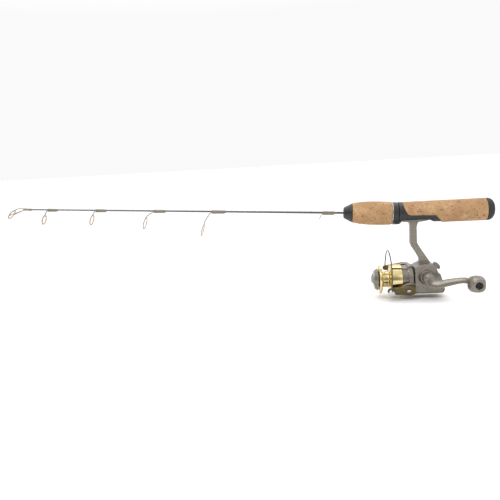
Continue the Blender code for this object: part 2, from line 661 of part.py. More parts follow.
def make_reel_body():
    body = plate("reel_body", housing_outline(), HOUSING_HALF_WIDTH, SILVER, bevel=0.0012)
    join(body, make_stem(), make_foot())
    neck = turned("neck", rod_stations(0.001, -(0.0005 + NECK_LENGTH), NECK_R), None, REEL_LINE,
                  steps=24, cutter=True)
    far_boss = turned("far_boss", [
        (HOUSING_HALF_WIDTH + 0.0030, 0.0), (HOUSING_HALF_WIDTH + 0.0030, 0.0066),
        (HOUSING_HALF_WIDTH + 0.0012, 0.0078), (HOUSING_HALF_WIDTH - 0.001, 0.0080),
        (HOUSING_HALF_WIDTH - 0.001, 0.0)], None, CRANK_LINE, ALONG_Y, steps=24, cutter=True)
    join(body, neck, far_boss)
    depth = HOUSING_HALF_WIDTH - HOUSING_WALL / 2
    cavity = plate("cavity", housing_outline(HOUSING_WALL), depth, None, None,
                   at(0.0, -HOUSING_WALL / 2 - 0.0001, 0.0), cutter=True)
    for i, (x, z) in enumerate(COVER_SCREWS):
        post = turned(f"screw_post_{i}", rod_stations(HOUSING_HALF_WIDTH, COVER_FACE - 0.001, POST_R),
                      None, None, at(x, 0.0, z) @ ALONG_Y, steps=12, cutter=True)
        cut(cavity, post)
    cavity = realised(cavity)
    cut(body, cavity)
    bearing_seat = turned("bearing_seat", rod_stations(0.003, -(0.0005 + NECK_LENGTH) - 0.001,
                                                       BEARING_R + GAP),
                          None, REEL_LINE, steps=24, cutter=True)
    bush_hole = turned("far_bush_hole", rod_stations(0.02, 0.0, CRANK_SHAFT_R + 0.0014 + GAP), None,
                       CRANK_LINE, ALONG_Y, steps=20, cutter=True)
    cut(body, bearing_seat, bush_hole)
    for i, (x, z) in enumerate(COVER_SCREWS):
        shank = turned(f"screw_hole_{i}", [
            (HOUSING_HALF_WIDTH + 0.001, 0.0), (HOUSING_HALF_WIDTH + 0.001, SCREW_HEAD_R + GAP),
            (HOUSING_HALF_WIDTH - 0.0014, SCREW_HEAD_R + GAP),
            (HOUSING_HALF_WIDTH - 0.0014, SCREW_R + GAP), (COVER_FACE - 0.001, SCREW_R + GAP),
            (COVER_FACE - 0.001, 0.0)], None, None, at(x, 0.0, z) @ ALONG_Y, steps=12, cutter=True)
        cut(body, shank)
    notch = turned("lever_notch", rod_stations(LEVER_HALF + SWEEP, -LEVER_HALF - SWEEP,
                                               LEVER_R + SWEEP),
                   None, None, at(LEVER_X, 0.0, LEVER_Z) @ ALONG_Y, steps=20, cutter=True)
    pin_end = LEVER_PIN_HALF + GAP
    pin = turned("lever_pin_hole", rod_stations(pin_end, -pin_end, LEVER_PIN_R + RUN), None, None,
                 at(LEVER_X, 0.0, LEVER_Z) @ ALONG_Y, steps=10, cutter=True)
    cut(body, notch, pin)
    rail = turned("rail_hole", rod_stations(0.033, -0.0002, RAIL_R + GAP), None, None,
                  at(0.0, 0.0, RAIL_Z) @ ALONG_X, steps=10, cutter=True)
    cut(body, rail)


RAIL_R = 0.0008
RAIL_Z = REEL_Z - 0.0078


def make_side_cover():
    inner = COVER_FACE
    outer = inner - COVER_THICK
    cover = plate("side_cover", housing_outline(), COVER_THICK / 2, SILVER, None,
                  at(0.0, (inner + outer) / 2, 0.0), bevel=0.0009)
    boss = turned("cover_boss", [
        (inner - 0.0005, 0.0), (inner - 0.0005, BOSS_R + 0.0010), (outer, BOSS_R + 0.0004),
        (outer - BOSS_LENGTH * 0.45, BOSS_R - 0.0004), (outer - BOSS_LENGTH, BOSS_RIM_R),
        (outer - BOSS_LENGTH, 0.0)], None, CRANK_LINE, ALONG_Y, steps=28, cutter=True)
    post = turned("crosswind_post", rod_stations(CROSS_Y + 0.0011, COVER_FACE - 0.0005, CROSS_POST_R),
                  None, None, at(CROSS_X, 0.0, CROSS_Z) @ ALONG_Y, steps=12, cutter=True)
    join(cover, boss, post)
    hole = turned("near_bush_hole", rod_stations(0.0, -0.03, CRANK_SHAFT_R + 0.0014 + GAP), None,
                  CRANK_LINE, ALONG_Y, steps=20, cutter=True)
    cut(cover, hole)
    for i, (x, z) in enumerate(COVER_SCREWS):
        pilot = turned(f"cover_pilot_{i}", rod_stations(0.0, outer + 0.0008, SCREW_R + GAP), None,
                       None, at(x, 0.0, z) @ ALONG_Y, steps=12, cutter=True)
        cut(cover, pilot)


def make_cover_screws():
    top = HOUSING_HALF_WIDTH
    end = COVER_FACE - COVER_THICK + 0.0008 + GAP
    for i, (x, z) in enumerate(COVER_SCREWS):
        turned(f"cover_screw_{i + 1}", [
            (top - 0.0002, 0.0), (top - 0.0002, SCREW_HEAD_R), (top - 0.0014 + GAP, SCREW_HEAD_R),
            (top - 0.0014 + GAP, SCREW_R), (end, SCREW_R), (end, 0.0)],
            STEEL, None, at(x, 0.0, z) @ ALONG_Y, steps=12)


def make_bottom_trim():
    """A bumper plate under the housing, turned up at both ends."""
    z = -0.0975 - GAP
    outline = [(-0.0005, z), (0.0318, z), (0.0346, -0.0950), (0.0343 + GAP, -0.0935),
               (0.0364, -0.0935), (0.0358, -0.0975), (0.0338, -0.0997), (-0.0005, -0.0997)]
    plate("bottom_trim", outline, HOUSING_HALF_WIDTH - 0.0022, BRONZE, bevel=0.0004)


# ================================================================ gears and shafts
def gear_outline(radius, teeth, depth, top=0.36, root=0.64):
    """A spur gear in local XZ: each tooth has a top and a root land."""
    points = []
    pitch = 2 * math.pi / teeth
    for i in range(teeth):
        for share, r in ((-top / 2, radius), (top / 2, radius), (0.5 - root / 4, radius - depth),
                         (0.5 + root / 4, radius - depth)):
            a = (i + share) * pitch
            points.append((r * math.cos(a), r * math.sin(a)))
    return points


def make_pinion():
    front = -0.0142
    bearing_rear = 0.0005
    tube = turned("pinion", ring_stations(0.0012, front, PINION_TUBE_R, MAIN_SHAFT_R + RUN), BRASS,
                  REEL_LINE, steps=16)
    teeth = plate("pinion_teeth", gear_outline(PINION_R, PINION_TEETH, 0.0006), 0.0027, None,
                  REEL_LINE, at(0.0039, 0.0, 0.0) @ Matrix.Rotation(math.pi / 2, 4, "Z"), cutter=True)
    bore = turned("pinion_bore", rod_stations(0.02, -0.02, MAIN_SHAFT_R + RUN), None, REEL_LINE,
                  steps=16, cutter=True)
    cut(teeth, bore)
    join(tube, realised(teeth))
    neck_front = -(0.0005 + NECK_LENGTH)
    turned("pinion_bearing", ring_stations(bearing_rear, neck_front + 0.0003, BEARING_R,
                                           PINION_TUBE_R + RUN), STEEL, REEL_LINE, steps=20)
    nut_rear = ROTOR_STEP_X - ROTOR_WEB - GAP * 2
    nut_bore = (PINION_TUBE_R + RUN) / math.cos(math.pi / 6)
    turned("rotor_nut", ring_stations(nut_rear, nut_rear - 0.0023, 0.0041, nut_bore),
           STEEL, ROTOR_LINE, steps=6)


ROTOR_WEB = 0.0022


def make_drive_gear():
    """The crank's shaft with its face gear, ratchet and small spur gear in one casting."""
    near = COVER_FACE - COVER_THICK - BOSS_LENGTH - 0.0002
    far = HOUSING_HALF_WIDTH + 0.0026
    face = PINION_R + GAP
    gear = turned("drive_gear", [
        (far, 0.0), (far, CRANK_SHAFT_R), (face + 0.0044, CRANK_SHAFT_R),
        (face + 0.0040, 0.0045), (face + 0.0036, GEAR_R - 0.0008), (face + 0.0028, GEAR_R),
        (face + 0.0012, GEAR_R), (face + 0.0012, GEAR_HOLE_R), (face + 0.0022, GEAR_HOLE_R - 0.0006),
        (face + 0.0022, CRANK_SHAFT_R), (near, CRANK_SHAFT_R), (near, 0.0)],
        ZINC, CRANK_LINE, ALONG_Y, steps=26)
    crown = plate("crown_teeth", gear_outline(GEAR_R, GEAR_TEETH, GEAR_R - GEAR_HOLE_R - 0.0004,
                                              0.46, 0.30), 0.0008, None, CRANK_LINE,
                  at(0.0, face + 0.0008, 0.0), cutter=True)
    ring = turned("crown_hole", rod_stations(0.02, 0.0, GEAR_HOLE_R), None, CRANK_LINE, ALONG_Y,
                  steps=26, cutter=True)
    cut(crown, ring)
    ratchet = plate("ratchet_teeth", ratchet_outline(), 0.0009, None, CRANK_LINE,
                    at(0.0, RATCHET_Y, 0.0), cutter=True)
    small = plate("cross_pinion", gear_outline(CROSS_PINION_TEETH * CROSS_MODULE / 2,
                                               CROSS_PINION_TEETH, 0.0007), 0.0011, None, CRANK_LINE,
                  at(0.0, CROSS_Y, 0.0), cutter=True)
    join(gear, realised(crown), ratchet, small)


RATCHET_Y = -0.0039
CROSS_Y = -0.0083


def ratchet_outline():
    points = []
    for i in range(RATCHET_TEETH):
        a = 2 * math.pi * i / RATCHET_TEETH
        b = a + 2 * math.pi / RATCHET_TEETH * 0.92
        points.append((RATCHET_R * math.cos(a), RATCHET_R * math.sin(a)))
        points.append(((RATCHET_R - 0.0010) * math.cos(b), (RATCHET_R - 0.0010) * math.sin(b)))
    return points


def make_bushes():
    far = HOUSING_HALF_WIDTH + 0.0026
    near = COVER_FACE - COVER_THICK - BOSS_LENGTH + 0.0004
    outer = CRANK_SHAFT_R + 0.0014
    inner = CRANK_SHAFT_R + RUN
    turned("crank_bush_far", ring_stations(far, HOUSING_HALF_WIDTH - HOUSING_WALL, outer, inner),
           BRASS, CRANK_LINE, ALONG_Y, steps=20)
    turned("crank_bush_near", ring_stations(COVER_FACE, near, outer, inner), BRASS, CRANK_LINE,
           ALONG_Y, steps=20)


def make_crosswind():
    """The gear and eccentric pin that drive the slider, on the cover's post."""
    place = at(CROSS_X, 0.0, CROSS_Z)
    radius = CROSS_TEETH * CROSS_MODULE / 2
    gear = plate("crosswind_gear", gear_outline(radius, CROSS_TEETH, 0.0007), 0.0011, ZINC, None,
                 place @ at(0.0, CROSS_Y, 0.0))
    pin = turned("crosswind_pin", rod_stations(SLIDER_NEAR - GAP, CROSS_Y, 0.0009), None, None,
                 place @ at(-CROSS_THROW, 0.0, 0.0) @ ALONG_Y, steps=10, cutter=True)
    hole = turned("crosswind_hole", rod_stations(0.0, -0.02, CROSS_POST_R + RUN), None, None,
                  place @ ALONG_Y, steps=12, cutter=True)
    join(gear, pin)
    cut(gear, hole)


SLIDER_NEAR = -0.0038
SLIDER_FAR = 0.0024


def make_main_shaft():
    rear = CROSS_X - CROSS_THROW + 0.0024
    turned("main_shaft", rod_stations(rear, KNOB_FRONT_X + 0.0030, MAIN_SHAFT_R), STEEL, REEL_LINE,
           steps=12)
    x = CROSS_X - CROSS_THROW
    low = RAIL_Z - REEL_Z - 0.0020
    block = plate("slider", [(x - 0.0021, low), (x + 0.0021, low), (x + 0.0021, 0.0052),
                             (x + 0.0012, 0.0052), (x + 0.0012, 0.0004), (x - 0.0012, 0.0004),
                             (x - 0.0012, 0.0052), (x - 0.0021, 0.0052)],
                  (SLIDER_FAR - SLIDER_NEAR) / 2, BRASS, REEL_LINE,
                  at(0.0, (SLIDER_FAR + SLIDER_NEAR) / 2, 0.0))
    hole = turned("slider_bore", rod_stations(0.03, 0.0, MAIN_SHAFT_R + GAP), None, REEL_LINE,
                  steps=12, cutter=True)
    rail = turned("slider_rail_bore", rod_stations(0.03, 0.0, RAIL_R + RUN), None, None,
                  at(0.0, 0.0, RAIL_Z) @ ALONG_X, steps=10, cutter=True)
    cut(block, hole, rail)
    turned("slider_rail", rod_stations(0.0326, 0.0001, RAIL_R), STEEL, None,
           at(0.0, 0.0, RAIL_Z) @ ALONG_X, steps=10)


def make_anti_reverse():
    """The thumb lever at the back of the housing, with its trunnions and its pawl."""
    reach = math.hypot(LEVER_X - CRANK_X, LEVER_Z - CRANK_Z) - RATCHET_R - GAP
    toward = math.atan2(CRANK_Z - LEVER_Z, CRANK_X - LEVER_X)
    tip = (math.cos(toward) * reach, math.sin(toward) * reach)
    side = (-math.sin(toward) * 0.0010, math.cos(toward) * 0.0010)
    place = at(LEVER_X, 0.0, LEVER_Z)
    thumb = [(0.0012, 0.0043), (0.0020, 0.0064), (0.0050, 0.0056), (0.0074, 0.0026),
             (0.0078, -0.0006), (0.0064, -0.0026), (0.0042, -0.0012)]
    lever = plate("anti_reverse_lever", thumb + arc(0.0, 0.0, LEVER_R, 325, 95, 9), LEVER_HALF,
                  SILVER, None, place, bevel=0.0005)
    trunnion = turned("lever_trunnion", rod_stations(LEVER_PIN_HALF, -LEVER_PIN_HALF, LEVER_PIN_R),
                      None, None, place @ ALONG_Y, steps=10, cutter=True)
    pawl = plate("pawl", [(side[0] * 1.6, side[1] * 1.6), (tip[0] + side[0], tip[1] + side[1]),
                          tip, (tip[0] * 0.9 - side[0], tip[1] * 0.9 - side[1]),
                          (-side[0] * 1.6, -side[1] * 1.6)],
                 0.0008, None, None, place @ at(0.0, RATCHET_Y, 0.0), cutter=True)
    join(lever, trunnion, pawl)


# ================================================================ spool and drag
def make_spool():
    lip_rear = SPOOL_LIP_X + SPOOL_LIP_LENGTH
    floor = lip_rear + 0.0002
    bore = MAIN_SHAFT_R + GAP
    inner = SKIRT_R - SKIRT_WALL
    turned("spool", [
        (SKIRT_REAR_X, SKIRT_R), (SKIRT_X + 0.0016, SKIRT_R), (SKIRT_X + 0.0004, SKIRT_R - 0.0009),
        (SKIRT_X, SKIRT_R - 0.0020), (SKIRT_X - 0.0009, ARBOR_R + 0.0012), (SKIRT_X - 0.0022, ARBOR_R),
        (lip_rear + 0.0012, ARBOR_R), (lip_rear, ARBOR_R + 0.0012), (lip_rear - 0.0006, SPOOL_LIP_R - 0.0012),
        (lip_rear - 0.0014, SPOOL_LIP_R), (SPOOL_LIP_X + 0.0010, SPOOL_LIP_R),
        (SPOOL_LIP_X, SPOOL_LIP_R - 0.0014), (SPOOL_LIP_X, DRAG_CUP_R), (floor, DRAG_CUP_R - 0.0020),
        (floor, bore), (floor + 0.0018, bore), (floor + 0.0018, ARBOR_R - 0.0014),
        (SKIRT_X + 0.0008, ARBOR_R - 0.0014), (SKIRT_X + 0.0016, inner - 0.0010),
        (SKIRT_X + 0.0026, inner), (SKIRT_REAR_X, inner)], GOLD, REEL_LINE, steps=28)


def make_drag():
    floor = SPOOL_LIP_X + SPOOL_LIP_LENGTH + 0.0002
    bore = MAIN_SHAFT_R + GAP
    outer = DRAG_CUP_R - 0.0026
    place = floor - GAP
    for name, thick, paint in (("drag_washer", 0.0012, FELT), ("drag_disc", 0.0008, STEEL)):
        turned(name, ring_stations(place, place - thick, outer, bore), paint, REEL_LINE, steps=20)
        place -= thick + GAP
    knob_rear = place
    spring_r = 0.0026
    turns = 2.2
    steps = 22
    height = 0.0021
    start = knob_rear - 0.0006
    coil = []
    for i in range(steps + 1):
        a = 2 * math.pi * turns * i / steps
        coil.append((start - height * i / steps, spring_r * math.cos(a), spring_r * math.sin(a)))
    wire("drag_spring", coil, 0.00032, STEEL, REEL_LINE, sides=1)
    face = SPOOL_LIP_X - GAP * 2
    hollow_r = spring_r + 0.0010
    knob = turned("drag_knob", [
        (knob_rear, DRAG_CUP_R - 0.0032), (face, DRAG_CUP_R - 0.0014), (face - 0.0004, KNOB_R - 0.0004),
        (face - 0.0010, KNOB_R), (-0.0452, KNOB_R - 0.0009), (-0.0470, KNOB_R - 0.0019),
        (-0.0487, 0.0107), (-0.0498, 0.0092), (-0.0507, 0.0071), (KNOB_FRONT_X, KNOB_NOSE_R),
        (KNOB_FRONT_X, 0.0), (KNOB_FRONT_X + 0.0024, 0.0), (KNOB_FRONT_X + 0.0024, bore),
        (start - height - 0.0010, bore), (start - height - 0.0010, hollow_r), (knob_rear, hollow_r)],
        SILVER, REEL_LINE, steps=28)
    for side in (-1, 1):
        scoop = plate("knob_scoop_" + ("low" if side < 0 else "high"), [
            (KNOB_FRONT_X - 0.002, side * 0.0030), (KNOB_FRONT_X + 0.0026, side * 0.0034),
            (KNOB_FRONT_X + 0.0030, side * 0.0110), (KNOB_FRONT_X - 0.002, side * 0.0120)],
            0.0078, None, REEL_LINE, cutter=True)
        cut(knob, scoop)


# ================================================================ rotor and bail
def make_rotor():
    sleeve = SKIRT_R - SKIRT_WALL - SWEEP
    inner = sleeve - 0.0016
    cup = ROTOR_R - 0.0014
    web = ROTOR_STEP_X - ROTOR_WEB
    bore = PINION_TUBE_R + GAP
    rotor = turned("rotor", [
        (ROTOR_REAR_X, ROTOR_R - 0.0007), (ROTOR_REAR_X - 0.0008, ROTOR_R), (ROTOR_STEP_X, ROTOR_R),
        (ROTOR_STEP_X, sleeve), (ROTOR_SLEEVE_X, sleeve), (ROTOR_SLEEVE_X, inner), (web, inner),
        (web, bore), (ROTOR_STEP_X, bore), (ROTOR_STEP_X, cup), (ROTOR_REAR_X, cup)],
        SILVER, ROTOR_LINE, steps=28)
    ear_side = [(ROTOR_REAR_X, -0.0085), (ROTOR_REAR_X - 0.0030, -0.0092), (-0.0120, -0.0082)]
    ear_side += arc(BAIL_PIVOT_X - 0.0035, 0.0, 0.0066, -100, -260, 8)
    ear_side += [(-0.0120, 0.0082), (ROTOR_REAR_X - 0.0030, 0.0092), (ROTOR_REAR_X, 0.0085)]
    thick = EAR_OUT - EAR_IN
    for side, label in ((-1, "near"), (1, "far")):
        ear = plate("ear_" + label, ear_side, thick / 2, None, ROTOR_LINE,
                    at(0.0, side * (EAR_IN + EAR_OUT) / 2, 0.0), bevel=0.0008, cutter=True)
        root = plate("ear_root_" + label, [
            (ROTOR_REAR_X - 0.0002, -0.0082), (ROTOR_STEP_X + 0.0002, -0.0088),
            (ROTOR_STEP_X + 0.0002, 0.0088), (ROTOR_REAR_X - 0.0002, 0.0082)],
            0.0030, None, ROTOR_LINE, at(0.0, side * (ROTOR_R - 0.0002 - 0.0008), 0.0), cutter=True)
        hole = turned("ear_hole_" + label, rod_stations(0.03, 0.0, SCREW_R + GAP), None,
                      ROTOR_LINE, at(BAIL_PIVOT_X, 0.0, 0.0) @ Matrix.Rotation(
                          -side * math.pi / 2, 4, "X"), steps=12, cutter=True)
        hollow = turned("ear_hollow_" + label, rod_stations(0.0, -0.02, cup), None, ROTOR_LINE,
                        at(ROTOR_STEP_X + 0.02, 0.0, 0.0) @ ALONG_X, steps=28, cutter=True)
        cut(root, hollow)
        join(rotor, realised(root), ear)
        cut(rotor, hole)


ARM_IN = EAR_OUT + GAP
ARM_OUT = ARM_IN + BAIL_ARM_THICK
NOSE_IN = ARM_OUT + GAP + ROLLER_LENGTH + GAP
NOSE_OUT = NOSE_IN + 0.0026


def bail_arm_outline(front_x, front_r):
    """A lobe round the pivot that tapers forward to the end at front_x."""
    points = [(-0.0014, -0.0050), (-0.0040, -0.0068)]
    points += arc(BAIL_PIVOT_X, 0.0, 0.0075, -70, -112, 3)
    points += arc(front_x, 0.0, front_r, -100, -260, 8)
    points += arc(BAIL_PIVOT_X, 0.0, 0.0075, 112, 70, 3)
    points += [(-0.0040, 0.0068), (-0.0014, 0.0050)]
    return points


def screw_stations(head, head_r, under, end, radius):
    """A headed screw along its axis, head at the high end."""
    return [(head, 0.0), (head, head_r), (under, head_r), (under, radius), (end, radius), (end, 0.0)]


def make_bail():
    near_place = Matrix.Rotation(math.pi / 2, 4, "X")       # local Z becomes -Y
    hole_r = SCREW_R + RUN
    for side, label in ((-1, "near"), (1, "far")):
        outward = near_place if side < 0 else ALONG_Y
        front_r = BAIL_NOSE_R if side < 0 else 0.0034
        arm = plate("bail_arm_" + label, bail_arm_outline(ROLLER_X, front_r), BAIL_ARM_THICK / 2,
                    BRONZE, ROTOR_LINE, at(0.0, side * (ARM_IN + ARM_OUT) / 2, 0.0), bevel=0.0006)
        pivot = turned("bail_pivot_hole_" + label, rod_stations(0.03, 0.0, hole_r), None, ROTOR_LINE,
                       at(BAIL_PIVOT_X, 0.0, 0.0) @ outward, steps=12, cutter=True)
        cut(arm, pivot)
        turned("bail_screw_" + label, screw_stations(ARM_OUT + 0.0012, SCREW_HEAD_R + 0.0003,
                                                     ARM_OUT + GAP, EAR_IN + 0.0002, SCREW_R),
               STEEL, ROTOR_LINE, at(BAIL_PIVOT_X, 0.0, 0.0) @ outward, steps=12)
        end_hole = turned("bail_end_hole_" + label, rod_stations(0.03, 0.0, SCREW_R + GAP), None,
                          ROTOR_LINE, at(ROLLER_X, 0.0, 0.0) @ outward, steps=12, cutter=True)
        cut(arm, end_hole)
    place = at(ROLLER_X, 0.0, 0.0) @ near_place
    low = ARM_OUT + GAP
    turned("line_roller", [
        (low + ROLLER_LENGTH, ROLLER_R), (low + ROLLER_LENGTH * 0.62, ROLLER_R - 0.0008),
        (low + ROLLER_LENGTH * 0.38, ROLLER_R - 0.0008), (low, ROLLER_R), (low, SCREW_R + RUN),
        (low + ROLLER_LENGTH, SCREW_R + RUN)], STEEL, ROTOR_LINE, place, steps=18)
    nose = turned("bail_nose", [
        (NOSE_OUT, 0.0), (NOSE_OUT, BAIL_NOSE_R - 0.0016), (NOSE_OUT - 0.0009, BAIL_NOSE_R - 0.0003),
        (NOSE_OUT - 0.0016, BAIL_NOSE_R), (NOSE_IN, BAIL_NOSE_R), (NOSE_IN, SCREW_R),
        (ARM_IN + 0.0004, SCREW_R), (ARM_IN + 0.0004, 0.0)], STEEL, ROTOR_LINE, place, steps=20)
    near_root = -(NOSE_IN + 0.0012)
    far_root = ARM_OUT + 0.0008
    middle = (near_root + far_root) / 2
    half = (far_root - near_root) / 2
    loop = []
    count = 26
    for i in range(count + 1):
        a = math.pi * i / count
        across = math.copysign(abs(math.cos(a)) ** (2 / BAIL_SQUARENESS), math.cos(a))
        rise = math.sin(a) ** (2 / BAIL_SQUARENESS)
        loop.append((ROLLER_X - BAIL_LEAN * rise, middle - half * across, BAIL_REACH * rise))
    wire_piece = wire("bail_wire", [(ROLLER_X, near_root, 0.0)] + loop[1:-1]
                      + [(ROLLER_X, far_root, 0.0), (ROLLER_X, ARM_IN + 0.0006, 0.0)],
                      BAIL_WIRE_R, DARK_STEEL, ROTOR_LINE, sides=1)
    socket = wire("wire_socket", [(ROLLER_X, near_root, -0.002), (ROLLER_X, near_root, 0.0)]
                  + loop[1:5], BAIL_WIRE_R + GAP, None, ROTOR_LINE, 1, True)
    cut(nose, socket)
    return wire_piece


# ================================================================ crank
def make_crank():
    hub_near = COVER_FACE - COVER_THICK - BOSS_LENGTH - GAP * 2
    hub_out = -0.0322
    sections = (
        # centre x, y, z and half height of the arm
        (CRANK_X, -0.0300, CRANK_Z, 0.0062),
        (CRANK_X + 0.0024, -0.0326, CRANK_Z - 0.0056, 0.0056),
        (0.0225, -0.0352, -0.0834, 0.0048),
        (0.0319, -0.0385, -0.0806, 0.0037),
        (0.0474, -0.0433, -0.0774, 0.0031),
        (KNOB_X, CRANK_TIP_Y, KNOB_Z, 0.0040),
    )
    arm = lofted_arm("crank_arm", sections)
    hub = turned("crank_hub", [
        (hub_near, 0.0), (hub_near, ARM_HUB_R - 0.0004), (hub_near - 0.0012, ARM_HUB_R),
        (hub_out + 0.0026, ARM_HUB_R), (hub_out, ARM_HUB_R - 0.0022), (hub_out, 0.0)],
        None, CRANK_LINE, ALONG_Y, steps=24, cutter=True)
    end = turned("crank_end", rod_stations(CRANK_TIP_Y + ARM_THICK / 2, CRANK_TIP_Y - ARM_THICK / 2,
                                           0.0046), None, None,
                 at(KNOB_X, 0.0, KNOB_Z) @ ALONG_Y, steps=20, cutter=True)
    join(arm, hub, end)
    hole = turned("knob_pin_hole", rod_stations(-0.03, CRANK_TIP_Y - ARM_THICK, GRIP_KNOB_PIN_R + GAP),
                  None, None, at(KNOB_X, 0.0, KNOB_Z) @ ALONG_Y, steps=12, cutter=True)
    cut(arm, hole)
    screw_top = HOUSING_HALF_WIDTH + 0.0062
    turned("crank_screw_cap", [
        (screw_top, 0.0), (screw_top, 0.0040), (screw_top - 0.0010, 0.0052),
        (HOUSING_HALF_WIDTH + 0.0034, 0.0052), (HOUSING_HALF_WIDTH + 0.0034, 0.0)],
        SILVER, CRANK_LINE, ALONG_Y, steps=20)


def lofted_arm(name, sections, around=10):
    """An oval bar through the sections. Its faces run from ring to ring."""
    shape = bmesh.new()
    centres = [Vector(section[:3]) for section in sections]
    rings = []
    for i, (centre, section) in enumerate(zip(centres, sections)):
        before = centres[max(i - 1, 0)]
        after = centres[min(i + 1, len(centres) - 1)]
        along = (after - before).normalized()
        up = Vector((0.0, 1.0, 0.0)).cross(along).normalized()
        out = along.cross(up).normalized()
        ring = []
        for k in range(around):
            a = 2 * math.pi * k / around
            ring.append(shape.verts.new(centre + up * section[3] * math.cos(a)
                                        + out * ARM_THICK / 2 * math.sin(a)))
        rings.append(ring)
    for low, high in zip(rings, rings[1:]):
        for k in range(around):
            n = (k + 1) % around
            shape.faces.new((low[k], low[n], high[n], high[k]))
    shape.faces.new(reversed(rings[0]))
    shape.faces.new(rings[-1])
    bmesh.ops.recalc_face_normals(shape, faces=shape.faces)
    mesh = bpy.data.meshes.new(name)
    shape.to_mesh(mesh)
    shape.free()
    smooth(mesh)
    return add(name, mesh, SILVER)


def make_crank_knob():
    """An egg-shaped handle knob that spins on a headed pin."""
    root = CRANK_TIP_Y - ARM_THICK / 2 - GAP
    end = root - GRIP_KNOB_LENGTH
    place = at(KNOB_X, 0.0, KNOB_Z) @ ALONG_Y
    bore = GRIP_KNOB_PIN_R + RUN
    head = 0.0036
    knob = turned("crank_knob", [
        (root, 0.0058), (root - 0.0016, 0.0082), (root - 0.0050, 0.0102), (root - 0.0090, 0.0106),
        (root - 0.0140, 0.0096), (end + 0.0012, 0.0078), (end, 0.0066), (end, head + SWEEP),
        (end + 0.0034, head + SWEEP), (end + 0.0034, bore), (root, bore)],
        SILVER, None, place, steps=24)
    knob.matrix_local = at(KNOB_X, 0.0, KNOB_Z) @ at(0.0, 0.0, 0.0) @ ALONG_Y
    turned("knob_pin", screw_stations(0.0, head, -0.0018, -GRIP_KNOB_LENGTH - ARM_THICK * 0.8,
                                      GRIP_KNOB_PIN_R), DARK_STEEL, None,
           at(KNOB_X, end + 0.0034 - GAP - 0.0018, KNOB_Z) @ Matrix.Rotation(math.pi / 2, 4, "X"),
           steps=14)


# ================================================================ assembly
make_blank()
make_tip_top()
for index, guide_sizes in enumerate(GUIDES):
    make_guide(index + 1, *guide_sizes)
make_hook_keeper()
make_foregrip()
make_front_hood()
make_seat()
make_rear_grip()
make_butt_cap()
make_reel_body()
make_side_cover()
make_cover_screws()
make_bottom_trim()
make_pinion()
make_drive_gear()
make_bushes()
make_crosswind()
make_main_shaft()
make_anti_reverse()
make_spool()
make_drag()
make_rotor()
make_bail()
make_crank()
make_crank_knob()
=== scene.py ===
"""Looks of a short ice fishing rod with a small spinning reel, built round its CAD frame.

Metres, +X to the butt, +Z up. The rod line rises towards the tip from a point in the seat,
and the reel's axis is parallel to X. Each shown piece stands for one CAD node and rides on
that node's body.
"""

import json
import math

import bmesh
import bpy
from mathutils import Matrix, Vector


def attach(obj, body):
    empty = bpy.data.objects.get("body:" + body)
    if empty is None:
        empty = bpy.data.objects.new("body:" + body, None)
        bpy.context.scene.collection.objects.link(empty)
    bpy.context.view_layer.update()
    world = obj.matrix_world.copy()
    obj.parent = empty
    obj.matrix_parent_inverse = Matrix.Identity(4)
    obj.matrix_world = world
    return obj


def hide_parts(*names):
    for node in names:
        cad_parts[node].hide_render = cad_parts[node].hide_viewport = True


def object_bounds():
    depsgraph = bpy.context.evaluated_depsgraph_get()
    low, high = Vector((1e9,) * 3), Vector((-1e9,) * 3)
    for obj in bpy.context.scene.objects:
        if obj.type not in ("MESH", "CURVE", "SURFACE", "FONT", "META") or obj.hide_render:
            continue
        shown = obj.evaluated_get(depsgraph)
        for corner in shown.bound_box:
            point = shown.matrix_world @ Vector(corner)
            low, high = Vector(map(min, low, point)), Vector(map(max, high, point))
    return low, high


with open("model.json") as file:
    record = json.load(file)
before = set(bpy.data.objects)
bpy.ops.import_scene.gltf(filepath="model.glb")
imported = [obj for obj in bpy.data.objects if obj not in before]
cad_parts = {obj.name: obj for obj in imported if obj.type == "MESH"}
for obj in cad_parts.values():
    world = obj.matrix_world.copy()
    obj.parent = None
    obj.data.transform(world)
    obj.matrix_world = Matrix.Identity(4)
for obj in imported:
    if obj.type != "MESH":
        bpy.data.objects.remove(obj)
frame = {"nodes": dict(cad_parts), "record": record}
CAD_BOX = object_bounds()
RECORD = frame["record"]
BODY = {node: body for body, nodes in RECORD["behaviour"]["bodies"].items() for node in nodes}
SLOT = {part["node"]: part["material_slot"] for part in RECORD["subparts"]}

# ---------------------------------------------------------------- places shared with the frame
ROD_RISE = math.radians(3.35)
REEL_Z = -0.0823
CRANK_X, CRANK_Z = 0.0127, -0.0776
ROTOR_ROLL = math.radians(27)
ROD = Matrix.Translation((-0.024, 0.0, 0.0)) @ Matrix.Rotation(ROD_RISE, 4, "Y")
REEL = Matrix.Translation((0.0, 0.0, REEL_Z))
ROTOR = REEL @ Matrix.Rotation(ROTOR_ROLL, 4, "X")
CRANK = Matrix.Translation((CRANK_X, 0.0, CRANK_Z))
ALONG_X = Matrix.Rotation(math.pi / 2, 4, "Y")      # local Z becomes +X
FAR_SIDE = Matrix.Rotation(-math.pi / 2, 4, "X")    # local Z becomes +Y
NEAR_SIDE = Matrix.Rotation(math.pi / 2, 4, "X")    # local Z becomes -Y
GAP = 0.00015


# ================================================================ mesh tools
def at(x, y, z):
    return Matrix.Translation((x, y, z))


def shaped(name, shape, place=None, angle=38):
    """An object from a bmesh, placed and shaded."""
    bmesh.ops.recalc_face_normals(shape, faces=shape.faces)
    mesh = bpy.data.meshes.new(name)
    shape.to_mesh(mesh)
    shape.free()
    if place is not None:
        mesh.transform(place)
    mesh.shade_smooth()
    mesh.set_sharp_from_angle(angle=math.radians(angle))
    made = bpy.data.objects.new(name, mesh)
    bpy.context.scene.collection.objects.link(made)
    return made


